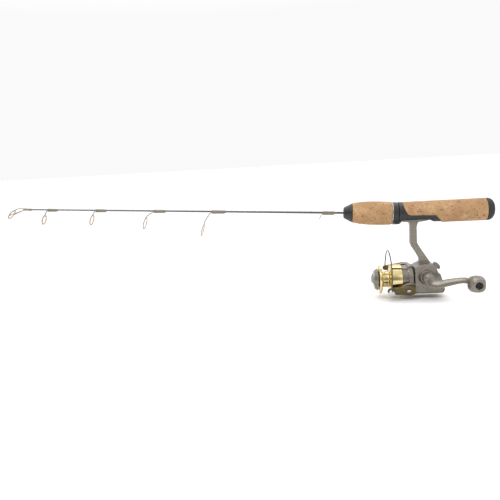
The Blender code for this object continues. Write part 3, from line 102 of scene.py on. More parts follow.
def rounded(points, closed=False, pieces=5):
    """The outline with its corners rounded. A point is (a, b) or (a, b, corner radius)."""
    result = []
    count = len(points)
    for i, point in enumerate(points):
        here = Vector(point[:2])
        radius = point[2] if len(point) > 2 else 0.0
        if radius <= 0 or (not closed and i in (0, count - 1)):
            result.append(here)
            continue
        before = Vector(points[i - 1][:2]) - here
        after = Vector(points[(i + 1) % count][:2]) - here
        half = before.angle(after) / 2
        if half > math.radians(86):
            result.append(here)
            continue
        reach = min(radius / math.tan(half), before.length * 0.49, after.length * 0.49)
        start = before.normalized() * reach
        end = after.normalized() * reach
        middle = (before.normalized() + after.normalized()).normalized() * reach / math.cos(half)
        first = math.atan2(start.y - middle.y, start.x - middle.x)
        turn = math.atan2(end.y - middle.y, end.x - middle.x) - first
        turn = (turn + math.pi) % (2 * math.pi) - math.pi
        size = (start - middle).length
        for k in range(pieces + 1):
            a = first + turn * k / pieces
            result.append(here + middle + Vector((math.cos(a), math.sin(a))) * size)
    return [tuple(p) for p in result]


def lathe(name, profile, place, steps=96, angle=38):
    """A turned shape about local Z. The profile is (along, radius, corner radius) points."""
    ring = profile[0][1] > 0
    points = rounded(profile, closed=ring)
    shape = bmesh.new()
    rings = []
    for along, radius in points:
        if radius < 1e-7:
            rings.append([shape.verts.new((0.0, 0.0, along))])
            continue
        turn = [2 * math.pi * k / steps for k in range(steps)]
        rings.append([shape.verts.new((radius * math.cos(a), radius * math.sin(a), along))
                      for a in turn])
    pairs = list(zip(rings, rings[1:]))
    if ring:
        pairs.append((rings[-1], rings[0]))
    for a, b in pairs:
        for k in range(steps):
            n = (k + 1) % steps
            corners = [a[k % len(a)], a[n % len(a)], b[n % len(b)], b[k % len(b)]]
            corners = list(dict.fromkeys(corners))
            if len(corners) > 2:
                shape.faces.new(corners)
    return shaped(name, shape, place, angle)


def hollow(high, low, outer, inner, edge=0.0002):
    return [(high, outer, edge), (low, outer, edge), (low, inner, edge), (high, inner, edge)]


def solid(high, low, radius, edge=0.0):
    return [(high, 0.0), (high, radius, edge), (low, radius, edge), (low, 0.0)]


def sweep(name, path, radius, place=None, sides=20, closed=False, flat=1.0, side=(0, 1, 0)):
    """A round bar along a path. Its radius can change, and flat thins it across side."""
    points = [Vector(p) for p in path]
    radii = list(radius) if isinstance(radius, (list, tuple)) else [radius] * len(points)
    if not closed:
        for tip, near in ((0, 1), (-1, -2)):
            out = (points[tip] - points[near]).normalized()
            size = radii[tip]
            caps = [(points[tip] + out * size * math.sin(math.radians(a)),
                     size * math.cos(math.radians(a))) for a in (30, 55, 75)]
            if tip == 0:
                points = [p for p, _ in reversed(caps)] + points
                radii = [r for _, r in reversed(caps)] + radii
            else:
                points += [p for p, _ in caps]
                radii += [r for _, r in caps]
    count = len(points)
    across = Vector(side)
    shape = bmesh.new()
    rings = []
    for i, centre in enumerate(points):
        if closed:
            along = points[(i + 1) % count] - points[i - 1]
        else:
            along = points[min(i + 1, count - 1)] - points[max(i - 1, 0)]
        along.normalize()
        across = (across - along * across.dot(along)).normalized()
        other = along.cross(across)
        rings.append([shape.verts.new(centre + radii[i] * (
            across * math.cos(2 * math.pi * k / sides) * flat
            + other * math.sin(2 * math.pi * k / sides))) for k in range(sides)])
    pairs = list(zip(rings, rings[1:]))
    if closed:
        pairs.append((rings[-1], rings[0]))
    else:
        shape.faces.new(rings[0])
        shape.faces.new(rings[-1])
    for a, b in pairs:
        for k in range(sides):
            n = (k + 1) % sides
            shape.faces.new((a[k], a[n], b[n], b[k]))
    return shaped(name, shape, place, 60)


def slab(name, outline, low, high, edge=0.0, place=None, pieces=5, angle=38):
    """A prism between low and high on Y, its outline in XZ, with rounded rims."""
    points = rounded(outline, closed=True, pieces=pieces)
    shape = bmesh.new()
    first = [shape.verts.new((x, low, z)) for x, z in points]
    second = [shape.verts.new((x, high, z)) for x, z in points]
    caps = [shape.faces.new(first), shape.faces.new(second)]
    for k in range(len(points)):
        n = (k + 1) % len(points)
        shape.faces.new((first[k], first[n], second[n], second[k]))
    if edge:
        rims = [e for cap in caps for e in cap.edges]
        bmesh.ops.bevel(shape, geom=rims, offset=edge, segments=4, profile=0.5, affect="EDGES",
                        clamp_overlap=True)
    return shaped(name, shape, place, angle)


def spline(points, steps=8):
    """A Catmull-Rom curve through the points."""
    knots = [Vector(p) for p in points]
    ends = [2 * knots[0] - knots[1], *knots, 2 * knots[-1] - knots[-2]]
    path = []
    for a, b, c, d in zip(ends, ends[1:], ends[2:], ends[3:]):
        for i in range(steps):
            t = i / steps
            path.append(0.5 * (2 * b + (c - a) * t + (2 * a - 5 * b + 4 * c - d) * t**2
                               + (3 * b - 3 * c + d - a) * t**3))
    path.append(knots[-1])
    return path


def realise(target, angle=38):
    """Turns the object's modifiers into its mesh."""
    bpy.context.view_layer.update()
    graph = bpy.context.evaluated_depsgraph_get()
    mesh = bpy.data.meshes.new_from_object(target.evaluated_get(graph))
    target.modifiers.clear()
    target.data = mesh
    mesh.shade_smooth()
    mesh.set_sharp_from_angle(angle=math.radians(angle))
    return target


def combine(target, others, operation, angle=38):
    for other in others:
        step = target.modifiers.new(other.name, "BOOLEAN")
        step.operation = operation
        step.solver = "MANIFOLD"
        step.object = other
    realise(target, angle)
    for other in others:
        bpy.data.objects.remove(other, do_unlink=True)
    return target


def cut(target, *others):
    return combine(target, others, "DIFFERENCE")


def fuse(target, *others):
    return combine(target, others, "UNION")


def join_loose(target, *others):
    """Puts the others' faces in the target's mesh without a Boolean."""
    shape = bmesh.new()
    shape.from_mesh(target.data)
    for other in others:
        shape.from_mesh(other.data)
        bpy.data.objects.remove(other, do_unlink=True)
    shape.to_mesh(target.data)
    shape.free()
    return target


def melt(target, voxel, rounds):
    """Gives a cast piece soft corners and fillets."""
    remesh = target.modifiers.new("cast", "REMESH")
    remesh.mode = "VOXEL"
    remesh.voxel_size = voxel
    remesh.use_smooth_shade = True
    soften = target.modifiers.new("soften", "SMOOTH")
    soften.factor = 0.5
    soften.iterations = rounds
    return realise(target, 60)


# ================================================================ materials
METAL_WEAR = 0.08    # how much smears change the roughness of bare metal
SCUFF = 0.10         # and scuffs that of plastic


class Paint:
    """A Principled material whose detail is built from texture nodes in object space."""

    def __init__(self, name, colour, roughness, metallic=0.0, **sockets):
        self.material = bpy.data.materials.new(name)
        self.material.use_nodes = True
        self.nodes = self.material.node_tree.nodes
        self.links = self.material.node_tree.links
        self.shader = self.nodes["Principled BSDF"]
        self.coords = self.nodes.new("ShaderNodeTexCoord").outputs["Object"]
        self.normal = None
        self.set("Base Color", (*colour, 1.0))
        self.set("Roughness", roughness)
        self.set("Metallic", metallic)
        for socket, value in sockets.items():
            self.set(socket.replace("_", " "), value)

    def set(self, socket, value):
        self.shader.inputs[socket].default_value = value

    def stretched(self, scale, turn=(0.0, 0.0, 0.0)):
        mapping = self.nodes.new("ShaderNodeMapping")
        mapping.inputs["Scale"].default_value = scale
        mapping.inputs["Rotation"].default_value = turn
        self.links.new(self.coords, mapping.inputs["Vector"])
        return mapping.outputs["Vector"]

    def noise(self, scale, detail=3.0, roughness=0.6, stretch=None):
        node = self.nodes.new("ShaderNodeTexNoise")
        node.inputs["Scale"].default_value = scale
        node.inputs["Detail"].default_value = detail
        node.inputs["Roughness"].default_value = roughness
        self.links.new(self.stretched(stretch) if stretch else self.coords, node.inputs["Vector"])
        return node.outputs["Fac"]

    def cells(self, scale):
        node = self.nodes.new("ShaderNodeTexVoronoi")
        node.inputs["Scale"].default_value = scale
        self.links.new(self.coords, node.inputs["Vector"])
        return node.outputs["Distance"]

    def bands(self, scale, axis="X", distortion=0.0, turn=(0.0, 0.0, 0.0)):
        node = self.nodes.new("ShaderNodeTexWave")
        node.bands_direction = axis
        node.inputs["Scale"].default_value = scale
        node.inputs["Distortion"].default_value = distortion
        self.links.new(self.stretched((1, 1, 1), turn), node.inputs["Vector"])
        return node.outputs["Fac"]

    def ramp(self, source, *stops):
        """stops are (position, colour), or (position, value) for a grey."""
        node = self.nodes.new("ShaderNodeValToRGB")
        elements = node.color_ramp.elements
        while len(elements) < len(stops):
            elements.new(0.5)
        for element, (place, colour) in zip(elements, stops):
            colour = (colour,) * 3 if isinstance(colour, float) else colour
            element.position = place
            element.color = (*colour, 1.0)
        self.links.new(source, node.inputs["Fac"])
        return node.outputs["Color"]

    def mix(self, share, a, b, blend="MIX"):
        """Colours or sockets a and b, mixed by a socket or a number."""
        node = self.nodes.new("ShaderNodeMix")
        node.data_type = "RGBA"
        node.blend_type = blend
        for socket, value in ((node.inputs[0], share), (node.inputs[6], a), (node.inputs[7], b)):
            if isinstance(value, bpy.types.NodeSocket):
                self.links.new(value, socket)
            elif isinstance(value, (tuple, list)):
                socket.default_value = (*value, 1.0)
            else:
                socket.default_value = value
        return node.outputs[2]

    def drive(self, socket, source):
        self.links.new(source, self.shader.inputs[socket])

    def bump(self, height, distance, strength=1.0):
        node = self.nodes.new("ShaderNodeBump")
        node.inputs["Strength"].default_value = strength
        node.inputs["Distance"].default_value = distance
        self.links.new(height, node.inputs["Height"])
        if self.normal:
            self.links.new(self.normal, node.inputs["Normal"])
        self.normal = node.outputs["Normal"]
        self.links.new(self.normal, self.shader.inputs["Normal"])


def cork_paint():
    paint = Paint("cork", (0.6, 0.4, 0.24), 0.85)
    broad = paint.noise(70, 4.0)
    body = paint.ramp(broad, (0.30, (0.27, 0.145, 0.062)), (0.52, (0.335, 0.195, 0.092)),
                      (0.72, (0.42, 0.265, 0.135)))
    grain = paint.noise(900, 4.0, 0.7)
    body = paint.mix(0.55, body, paint.ramp(grain, (0.25, 0.25), (0.75, 1.0)), "OVERLAY")
    fleck = paint.noise(420, 3.0, 0.6, (0.55, 1.0, 1.0))
    pits = paint.ramp(fleck, (0.60, 0.0), (0.66, 1.0))
    body = paint.mix(pits, body, (0.150, 0.075, 0.036))
    dots = paint.ramp(paint.cells(430), (0.10, 1.0), (0.19, 0.0))
    body = paint.mix(dots, body, (0.20, 0.105, 0.05))
    paint.drive("Base Color", body)
    paint.drive("Roughness", paint.ramp(grain, (0.2, 0.72), (0.8, 0.95)))
    paint.bump(paint.mix(pits, grain, (0.0, 0.0, 0.0)), 0.00035, 0.7)
    return paint.material


def cast_paint(name, dark, light, roughness, metallic):
    """Sprayed metallic paint over a casting: flakes, a faint orange peel and rubbed patches."""
    paint = Paint(name, light, roughness, metallic, Coat_Weight=0.25, Coat_Roughness=0.12)
    flakes = paint.noise(5200, 2.0, 0.8)
    cloud = paint.noise(60, 3.0)
    colour = paint.mix(cloud, dark, light)
    colour = paint.mix(0.35, colour, paint.ramp(flakes, (0.3, 0.15), (0.7, 0.95)), "OVERLAY")
    paint.drive("Base Color", colour)
    paint.drive("Roughness", paint.ramp(paint.noise(220, 4.0), (0.3, roughness - 0.07),
                                        (0.7, roughness + 0.10)))
    paint.bump(paint.noise(1400, 2.0), 0.00002, 0.35)
    return paint.material


def metal_paint(name, colour, roughness, turn_lines=0.0):
    """Bare metal with smears and, where it is turned, fine lines round its axis."""
    paint = Paint(name, colour, roughness, 1.0)
    smear = paint.noise(140, 4.0, 0.65)
    shade = tuple(c * 0.82 for c in colour)
    paint.drive("Base Color", paint.mix(smear, shade, colour))
    paint.drive("Roughness", paint.ramp(smear, (0.3, roughness - METAL_WEAR / 2),
                                        (0.75, roughness + METAL_WEAR)))
    if turn_lines:
        paint.bump(paint.bands(900, "X", 1.5), 0.00001, turn_lines)
    paint.bump(paint.noise(2600, 2.0), 0.000006, 0.3)
    return paint.material


def plastic_paint(name, colour, roughness, grain=0.00003):
    paint = Paint(name, colour, roughness, Specular_IOR_Level=0.5)
    cloud = paint.noise(90, 4.0)
    paint.drive("Base Color", paint.mix(cloud, tuple(c * 0.7 for c in colour),
                                        tuple(c * 1.35 for c in colour)))
    paint.drive("Roughness", paint.ramp(paint.noise(400, 5.0, 0.7), (0.3, roughness - SCUFF / 2),
                                        (0.75, roughness + SCUFF)))
    paint.bump(paint.noise(2100, 3.0, 0.7), grain, 0.6)
    return paint.material


def thread_paint():
    """Olive thread laid side by side under a thick coat of epoxy."""
    paint = Paint("thread_wrap", (0.10, 0.08, 0.04), 0.45, Coat_Weight=1.0, Coat_Roughness=0.06,
                  Coat_IOR=1.55)
    turns = paint.bands(640, "X", 0.4, (0.0, ROD_RISE, 0.0))
    colour = paint.mix(turns, (0.030, 0.026, 0.016), (0.125, 0.105, 0.062))
    paint.drive("Base Color", paint.mix(paint.noise(300, 3.0), colour, (0.16, 0.125, 0.075)))
    paint.bump(turns, 0.00006, 0.5)
    return paint.material


def blank_paint():
    paint = Paint("graphite_blank", (0.02, 0.02, 0.022), 0.3, Coat_Weight=1.0, Coat_Roughness=0.08)
    tape = paint.bands(95, "DIAGONAL", 0.6)
    paint.drive("Base Color", paint.mix(tape, (0.012, 0.013, 0.016), (0.035, 0.036, 0.042)))
    paint.drive("Roughness", paint.ramp(paint.noise(500, 3.0), (0.3, 0.25), (0.7, 0.42)))
    paint.bump(tape, 0.00002, 0.3)
    return paint.material


PAINTS = {
    "graphite": blank_paint(),
    "thread_wrap": thread_paint(),
    "cork": cork_paint(),
    "black_plastic": plastic_paint("black_plastic", (0.009, 0.009, 0.010), 0.40),
    "butt_rubber": plastic_paint("butt_rubber", (0.010, 0.010, 0.010), 0.60, 0.00006),
    "copper_ring": metal_paint("copper_ring", (0.62, 0.40, 0.27), 0.22),
    "guide_steel": metal_paint("guide_steel", (0.34, 0.30, 0.25), 0.28),
    "steel": metal_paint("steel", (0.60, 0.60, 0.62), 0.22),
    "dark_steel": metal_paint("dark_steel", (0.10, 0.10, 0.125), 0.25),
    "silver_paint": cast_paint("silver_paint", (0.145, 0.128, 0.104), (0.225, 0.203, 0.172),
                               0.28, 0.55),
    "gold_spool": metal_paint("gold_spool", (0.74, 0.60, 0.30), 0.13, 0.25),
    "bronze_paint": cast_paint("bronze_paint", (0.085, 0.058, 0.020), (0.17, 0.125, 0.045),
                               0.26, 0.7),
    "brass": metal_paint("brass", (0.72, 0.53, 0.24), 0.3, 0.3),
    "zinc": cast_paint("zinc_casting", (0.33, 0.33, 0.34), (0.48, 0.48, 0.50), 0.5, 0.9),
    "drag_felt": plastic_paint("drag_felt", (0.30, 0.28, 0.24), 0.9, 0.0002),
}
# Near-black matte finish that replaces the knob pin's own slot finish: painted shade for the dark
# socket at the knob's end.
SOCKET_PAINTED_SHADE = plastic_paint("socket_painted_shade", (0.008, 0.008, 0.009), 0.6)


def show(piece, node, paint=None, also=()):
    """The piece stands for the CAD node: it takes its finish and its body, and the node is hidden."""
    piece.data.materials.clear()
    piece.data.materials.append(paint or PAINTS[SLOT[node]])
    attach(piece, BODY[node])
    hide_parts(node, *also)
    return piece


# ================================================================ rod: blank, guides, wraps
BLANK_LENGTH = 0.468
BLANK_BUTT_R, BLANK_TIP_R = 0.00155, 0.0008
FOOT_R = 0.00045


def blank_radius(distance):
    return BLANK_BUTT_R + (BLANK_TIP_R - BLANK_BUTT_R) * max(distance, 0.0) / BLANK_LENGTH


def make_blank():
    profile = [(0.006, 0.0), (0.006, BLANK_BUTT_R), (0.0, BLANK_BUTT_R),
               (-BLANK_LENGTH, BLANK_TIP_R), (-BLANK_LENGTH, 0.0)]
    show(lathe("blank_tube", profile, ROD @ ALONG_X, 40), "blank")


def make_wrap(node, start, length, radius, sag):
    """Thread over the blank and a guide's foot: blunt at the front, run out at the butt end."""
    shape = bmesh.new()
    sides, stations = 32, 40
    rings = []
    for i in range(stations + 1):
        share = i / stations
        x = -start + length * share
        front = min(1.0, math.sqrt(max(share, 0.0) / 0.06))
        rear = min(1.0, math.sqrt(max(1 - share, 0.0) / 0.16))
        body = 1.0 - 0.22 * share
        lift = 0.00012 + 0.00055 * front * rear * body
        drop = lift + sag * front * rear * body
        ring = []
        for k in range(sides):
            a = 2 * math.pi * k / sides
            down = max(0.0, -math.sin(a))
            reach = radius + lift + (drop - lift) * down**1.4
            wide = radius + lift * (1.15 + 0.25 * down)
            ring.append(shape.verts.new((x, wide * math.cos(a), reach * math.sin(a))))
        rings.append(ring)
    for a, b in zip(rings, rings[1:]):
        for k in range(sides):
            n = (k + 1) % sides
            shape.faces.new((a[k], a[n], b[n], b[k]))
    shape.faces.new(rings[0])
    shape.faces.new(rings[-1])
    show(shaped(node + "_epoxy", shape, ROD, 50), node)


def hoop(centre, radius, tilt, count=64):
    points = []
    for i in range(count):
        a = 2 * math.pi * i / count
        up = radius * math.cos(a)
        points.append((centre[0] + up * math.sin(tilt), radius * math.sin(a),
                       centre[1] + up * math.cos(tilt)))
    return points


def make_insert(node, centre, radius, tilt, wall):
    """The polished ring inside a guide: a full rounded bead."""
    show(sweep(node + "_bead", hoop(centre, radius, tilt), wall, ROD, 18, True, side=(1, 0, 0)), node)


def make_guide(number, start, ring_r, drop, reach, length):
    tilt = math.radians(13)
    wire_r = 0.0006
    radius = blank_radius(start)
    foot_z = -(radius + 0.0003 + FOOT_R)
    hoop_r = ring_r - wire_r
    centre = (-start - reach, -drop)
    top = (centre[0] + hoop_r * math.sin(tilt), 0.0, centre[1] + hoop_r * math.cos(tilt))
    bend = -start - 0.0006
    across, down = top[0] - bend, top[2] - foot_z
    leg = spline([(-start + length * 0.72, 0.0, foot_z), (-start + length * 0.3, 0.0, foot_z),
                  (bend, 0.0, foot_z), (bend + across * 0.42, 0.0, foot_z + down * 0.30),
                  (bend + across * 0.85, 0.0, foot_z + down * 0.72), top], 8)
    thick = [0.00062 if i > 16 else 0.00048 for i in range(len(leg))]
    stalk = sweep(f"guide_leg_{number}", leg, thick, ROD, 16, flat=1.25)
    eye = sweep(f"guide_eye_{number}", hoop(centre, hoop_r, tilt), wire_r, ROD, 16, True,
                side=(1, 0, 0))
    show(fuse(stalk, eye), f"guide_frame_{number}")
    make_insert(f"guide_ring_{number}", centre, ring_r - 2 * wire_r - 0.00035, tilt, 0.00052)
    make_wrap(f"guide_wrap_{number}", start, length, radius, 0.0011)


GUIDES = (
    # start of the wrap, ring radius, drop, reach, wrap length
    (0.4374, 0.0065, 0.0131, 0.0052, 0.0140),
    (0.3740, 0.0072, 0.0125, 0.0052, 0.0150),
    (0.2985, 0.0081, 0.0158, 0.0112, 0.0162),
    (0.2243, 0.0085, 0.0238, 0.0112, 0.0184),
)


def make_tip_top():
    tilt = math.radians(35)
    tube_front = -(BLANK_LENGTH + 0.0013)
    tube_rear = tube_front + 0.0072
    outer, pinhole = BLANK_TIP_R + 0.0007, 0.00022
    tube = lathe("tip_tube", [(tube_rear, outer, 0.0001), (tube_front, outer, 0.0004),
                              (tube_front, pinhole), (tube_rear, pinhole)], ROD @ ALONG_X, 40)
    centre = (tube_front - 0.0163, -0.0066)
    ring = hoop(centre, 0.0065, tilt)
    eye = sweep("tip_eye", ring, 0.0006, ROD, 16, True, side=(1, 0, 0))
    brace = sweep("tip_brace", spline([
        (tube_rear - 0.003, 0.0, 0.0012), (tube_front, 0.0, 0.0011),
        ((tube_front + ring[0][0]) / 2, 0.0, 0.0011), ring[0]]), 0.0005, ROD, 14)
    legs = []
    for index in (18, -18):
        foot = ring[index]
        legs.append(sweep("tip_leg", spline([
            (tube_rear - 0.003, foot[1] * 0.10, -0.0009), (tube_front, foot[1] * 0.12, -0.0011),
            ((tube_front + foot[0]) / 2, foot[1] * 0.55, foot[2] * 0.55), foot]), 0.0005, ROD, 14))
    show(fuse(tube, eye, brace, *legs), "tip_top_frame")
    make_insert("tip_top_ring", centre, 0.0065 - 0.00085, tilt, 0.00052)
    make_wrap("tip_wrap", -(tube_rear + 0.0001), 0.0042, BLANK_TIP_R, 0.0002)


def make_keeper():
    start, length, radius = 0.0853, 0.0154, blank_radius(0.0853)
    foot_z = -(radius + 0.0003 + FOOT_R)
    path = spline([(-start + length * 0.7, 0.0, foot_z), (-start - 0.0003, 0.0, foot_z),
                   (-start - 0.0024, 0.0, foot_z - 0.0028), (-start - 0.0038, 0.0, -0.0083)])
    show(sweep("keeper_wire", path, FOOT_R, ROD, 14), "hook_keeper")
    make_wrap("keeper_wrap", start, length, radius, 0.0010)


# ================================================================ grips, hood and seat
GRIP_R = 0.0134
SEAT_FRONT = -0.0179
SEAT_FLAT = -0.0078
SHELF = -0.0024


def seat_side(grow=0.0):
    """The seat's outline from the side."""
    lean = 0.0165 * math.tan(ROD_RISE)
    g = grow
    return [
        (SEAT_FRONT + lean, 0.0165), (-0.0133 + g, 0.0165), (-0.0124 + g, 0.0088, 0.004),
        (-0.0101 + g, 0.0020 + g, 0.004), (-0.0072 + g, SHELF + 0.0007 + g, 0.003),
        (-0.0038, SHELF + g, 0.004), (0.0246 + g / 2, SHELF - 0.0010 + g, 0.002),
        (0.0362 + g, -0.0148 + g / 2, 0.001), (0.0362 + g, -0.0165), (SEAT_FRONT - lean, -0.0165)]


def make_rear_grip():
    grip = lathe("rear_grip_cork", [
        (0.0858, 0.0), (0.0858, 0.0136, 0.0002), (0.05, 0.0135), (-0.0130, GRIP_R, 0.0003),
        (-0.0130, 0.0)], ALONG_X, 128)
    cut(grip, slab("channel", seat_side(GAP), -0.02, 0.02))
    cut(grip, lathe("plug_hole", solid(0.09, 0.0765, 0.0053), ALONG_X, 48))
    show(grip, "rear_grip")


def make_butt_cap():
    show(lathe("butt_cap_rubber", [
        (0.0959, 0.0), (0.0959, 0.0062, 0.0010), (0.0949, 0.0092, 0.002), (0.0931, 0.0119, 0.003),
        (0.0903, 0.0134, 0.004), (0.0862, 0.0136, 0.0004), (0.0862, 0.0050), (0.0772, 0.0050),
        (0.0772, 0.0)], ALONG_X, 128), "butt_cap")


def make_seat():
    body = lathe("seat_shell", solid(0.0361, SEAT_FRONT - 0.002, GRIP_R), ALONG_X, 128)
    combine(body, [slab("seat_side", seat_side(), -0.02, 0.02)], "INTERSECT")
    underside = [(-0.03, SEAT_FLAT), (0.0178, SEAT_FLAT, 0.0008), (0.0186, SEAT_FLAT - 0.0011),
                 (0.0240, -0.0118, 0.001), (0.0400, -0.0118), (0.0400, -0.02), (-0.03, -0.02)]
    cut(body, slab("underside", underside, -0.02, 0.02),
        slab("rear_pocket", [(0.0166, SEAT_FLAT + 0.0001), (0.0235, SEAT_FLAT + 0.0001),
                             (0.0235, -0.0104), (0.0166, -0.0104)], -0.0062, 0.0062))
    melt(body, 0.00026, 3)
    barrel = [(0.002, 0.0070)]
    for i in range(7):
        place = -0.0030 - i * 0.0025
        barrel += [(place, 0.0074, 0.0003), (place - 0.00125, 0.0067, 0.0003)]
    barrel += [(-0.0420, 0.0068), (-0.0420, 0.00185), (0.002, 0.00185)]
    thread = lathe("seat_thread", barrel, ROD @ ALONG_X, 64)
    join_loose(body, thread)
    show(body, "reel_seat")


def make_hood():
    """A sliding ring with a flared rear rim whose lower lip covers the foot."""
    hood = lathe("hood_ring", hollow(0.0056, -0.0006, 0.0137, 0.0077, 0.0006), ROD @ ALONG_X, 128)
    lip = slab("hood_lip", [
        (-0.0222, SEAT_FLAT - 0.0003), (-0.0153, SEAT_FLAT - 0.0003, 0.0002),
        (-0.0153, -0.0112, 0.0008), (-0.0179, -0.0128, 0.001), (-0.0222, -0.0128)],
        -0.0082, 0.0082, 0.0006)
    fuse(hood, lip)
    cut(hood, slab("hood_pocket", [(-0.0226, -0.0077), (0.0, -0.0077), (0.0, -0.0109),
                                   (-0.0226, -0.0104)], -0.0062, 0.0062))
    melt(hood, 0.00024, 3)
    show(hood, "front_hood")


def make_foregrip():
    rear, front = -0.0020, -0.0494
    length = rear - front
    shares = ((0.0, 0.0138, 0.0008), (0.05, 0.0142, 0.004), (0.25, 0.0145, 0.02),
              (0.55, 0.0144, 0.02), (0.75, 0.0138, 0.02), (0.92, 0.0126, 0.01),
              (1.0, 0.0119, 0.0004))
    cork = [(rear - length * share, radius, corner) for share, radius, corner in shares]
    cork += [(front, 0.0098), (rear, 0.0098)]
    show(lathe("foregrip_cork_body", cork, ROD @ ALONG_X, 128), "foregrip_cork")
    show(lathe("foregrip_trim", hollow(-0.0009, -0.0017, 0.0138, 0.0080, 0.0003),
               ROD @ ALONG_X, 128), "foregrip_ring")
    back = front - 0.0003
    show(lathe("nose_cap_shell", [
        (back, 0.0116, 0.0004), (back - 0.0026, 0.0104, 0.001), (back - 0.0030, 0.0100, 0.0002),
        (back - 0.0074, 0.0078, 0.004), (back - 0.0093, 0.0068, 0.0008),
        (back - 0.0099, 0.0058, 0.0006), (back - 0.0099, 0.0022, 0.0003),
        (back - 0.0080, 0.0019), (back, 0.0019)], ROD @ ALONG_X, 96), "nose_cap")


# ================================================================ reel housing
HALF = 0.0122
COVER_FACE = -0.0125
COVER_OUT = -0.0149
BOSS_OUT = -0.0195
COVER_SCREWS = ((0.0044, -0.0674), (0.0040, -0.0938), (0.0304, -0.0938))


def housing_outline(corner=0.0014):
    points = [(-0.0005, -0.0672), (0.0040, -0.0642), (0.0090, -0.0626), (0.0212, -0.0626),
              (0.0240, -0.0642), (0.0270, -0.0730), (0.0300, -0.0757), (0.0332, -0.0860),
              (0.0340, -0.0945), (0.0322, -0.0975), (0.0020, -0.0975), (-0.0005, -0.0950)]
    return [(x, z, corner) for x, z in points]


def make_reel_body():
    body = slab("housing", housing_outline(), -HALF, HALF, 0.0012)
    stem = slab("stem", [
        (-0.0060, -0.0096), (-0.0046, -0.0125, 0.003), (-0.0040, -0.0170, 0.01),
        (-0.0040, -0.0370, 0.01), (-0.0028, -0.0410, 0.01), (0.0016, -0.0478, 0.01),
        (0.0056, -0.0544, 0.008), (0.0069, -0.0585, 0.005), (0.0060, -0.0615, 0.004),
        (0.0035, -0.0650, 0.002), (0.0035, -0.0690), (0.0225, -0.0690), (0.0218, -0.0640),
        (0.0150, -0.0540, 0.01), (0.0078, -0.0428, 0.01), (0.0046, -0.0370, 0.01),
        (0.0043, -0.0170, 0.006), (0.0058, -0.0128, 0.003), (0.0090, -0.0096)],
        -0.0038, 0.0038, 0.0015)
    foot = slab("foot", [
        (-0.0222, -0.0081), (0.0232, -0.0081), (0.0232, -0.0098, 0.0006), (0.0186, -0.0099, 0.004),
        (0.0085, -0.0115, 0.006), (-0.0048, -0.0115, 0.006), (-0.0222, -0.0098, 0.0006)],
        -0.0056, 0.0056, 0.0007)
    flare = lathe("flare", [(-0.0050, 0.0), (-0.0050, 0.0078, 0.0008), (0.002, 0.0088), (0.002, 0.0)],
                  REEL @ ALONG_X, 64)
    boss = lathe("far_boss", [(HALF + 0.0030, 0.0), (HALF + 0.0030, 0.0066, 0.0006),
                              (HALF - 0.001, 0.0082), (HALF - 0.001, 0.0)], CRANK @ FAR_SIDE, 64)
    fuse(body, stem, foot, flare, boss)
    cut(body, lathe("bearing_seat", solid(0.003, -0.007, 0.0061), REEL @ ALONG_X, 48))
    cut(body, lathe("lever_notch", solid(0.0054, -0.0054, 0.0041),
                    at(0.0242, 0.0, -0.0690) @ FAR_SIDE, 48))
    for x, z in COVER_SCREWS:
        cut(body, lathe("screw_well", solid(HALF + 0.002, HALF - 0.0014, 0.0024),
                        at(x, 0.0, z) @ FAR_SIDE, 32))
    melt(body, 0.00040, 3)
    show(body, "reel_body")


def make_side_cover():
    cover = slab("cover_plate", housing_outline(), COVER_OUT, COVER_FACE, 0.0008)
    boss = lathe("cover_boss", [
        (0.0130, 0.0), (0.0130, 0.0100), (-COVER_OUT, 0.0096, 0.002),
        (-COVER_OUT + 0.0018, 0.0084, 0.001), (-BOSS_OUT, 0.0074, 0.0006),
        (-BOSS_OUT, 0.0)], CRANK @ NEAR_SIDE, 96)
    fuse(cover, boss)
    cut(cover, lathe("boss_well", [(0.03, 0.0), (0.03, 0.0056), (-BOSS_OUT - 0.0006, 0.0056),
                                   (-BOSS_OUT - 0.0006, 0.0)], CRANK @ NEAR_SIDE, 64))
    melt(cover, 0.00026, 3)
    show(cover, "side_cover")


def make_cover_screws():
    for i, (x, z) in enumerate(COVER_SCREWS):
        screw = lathe(f"cover_screw_head_{i + 1}", [
            (HALF - 0.0002, 0.0), (HALF - 0.0002, 0.0014), (HALF - 0.0006, 0.0021, 0.0002),
            (HALF - 0.0011, 0.0021), (HALF - 0.0011, 0.0011), (-0.0138, 0.0011), (-0.0138, 0.0)],
            at(x, 0.0, z) @ FAR_SIDE, 40)
        cross_slots(screw, at(x, 0.0, z) @ FAR_SIDE, HALF - 0.0002, 0.0012)
        show(screw, f"cover_screw_{i + 1}")


def cross_slots(screw, place, top, reach):
    for turn in (0, 90):
        slot_place = place @ Matrix.Rotation(math.radians(turn + 20), 4, "Z")
        blade = slab("blade", [(-reach, top - 0.0007), (reach, top - 0.0007), (reach, top + 0.001),
                               (-reach, top + 0.001)], -0.00022, 0.00022, 0.0, slot_place)
        cut(screw, blade)


def make_bottom_trim():
    z = -0.0978
    outline = [(-0.0005, z, 0.0003), (0.0318, z, 0.001), (0.0346, -0.0950, 0.001),
               (0.0346, -0.0935, 0.0003), (0.0364, -0.0935, 0.0006), (0.0358, -0.0975, 0.002),
               (0.0338, -0.0997, 0.002), (-0.0005, -0.0997, 0.0008)]
    show(slab("trim_plate", outline, -0.0100, 0.0100, 0.0004), "bottom_trim")


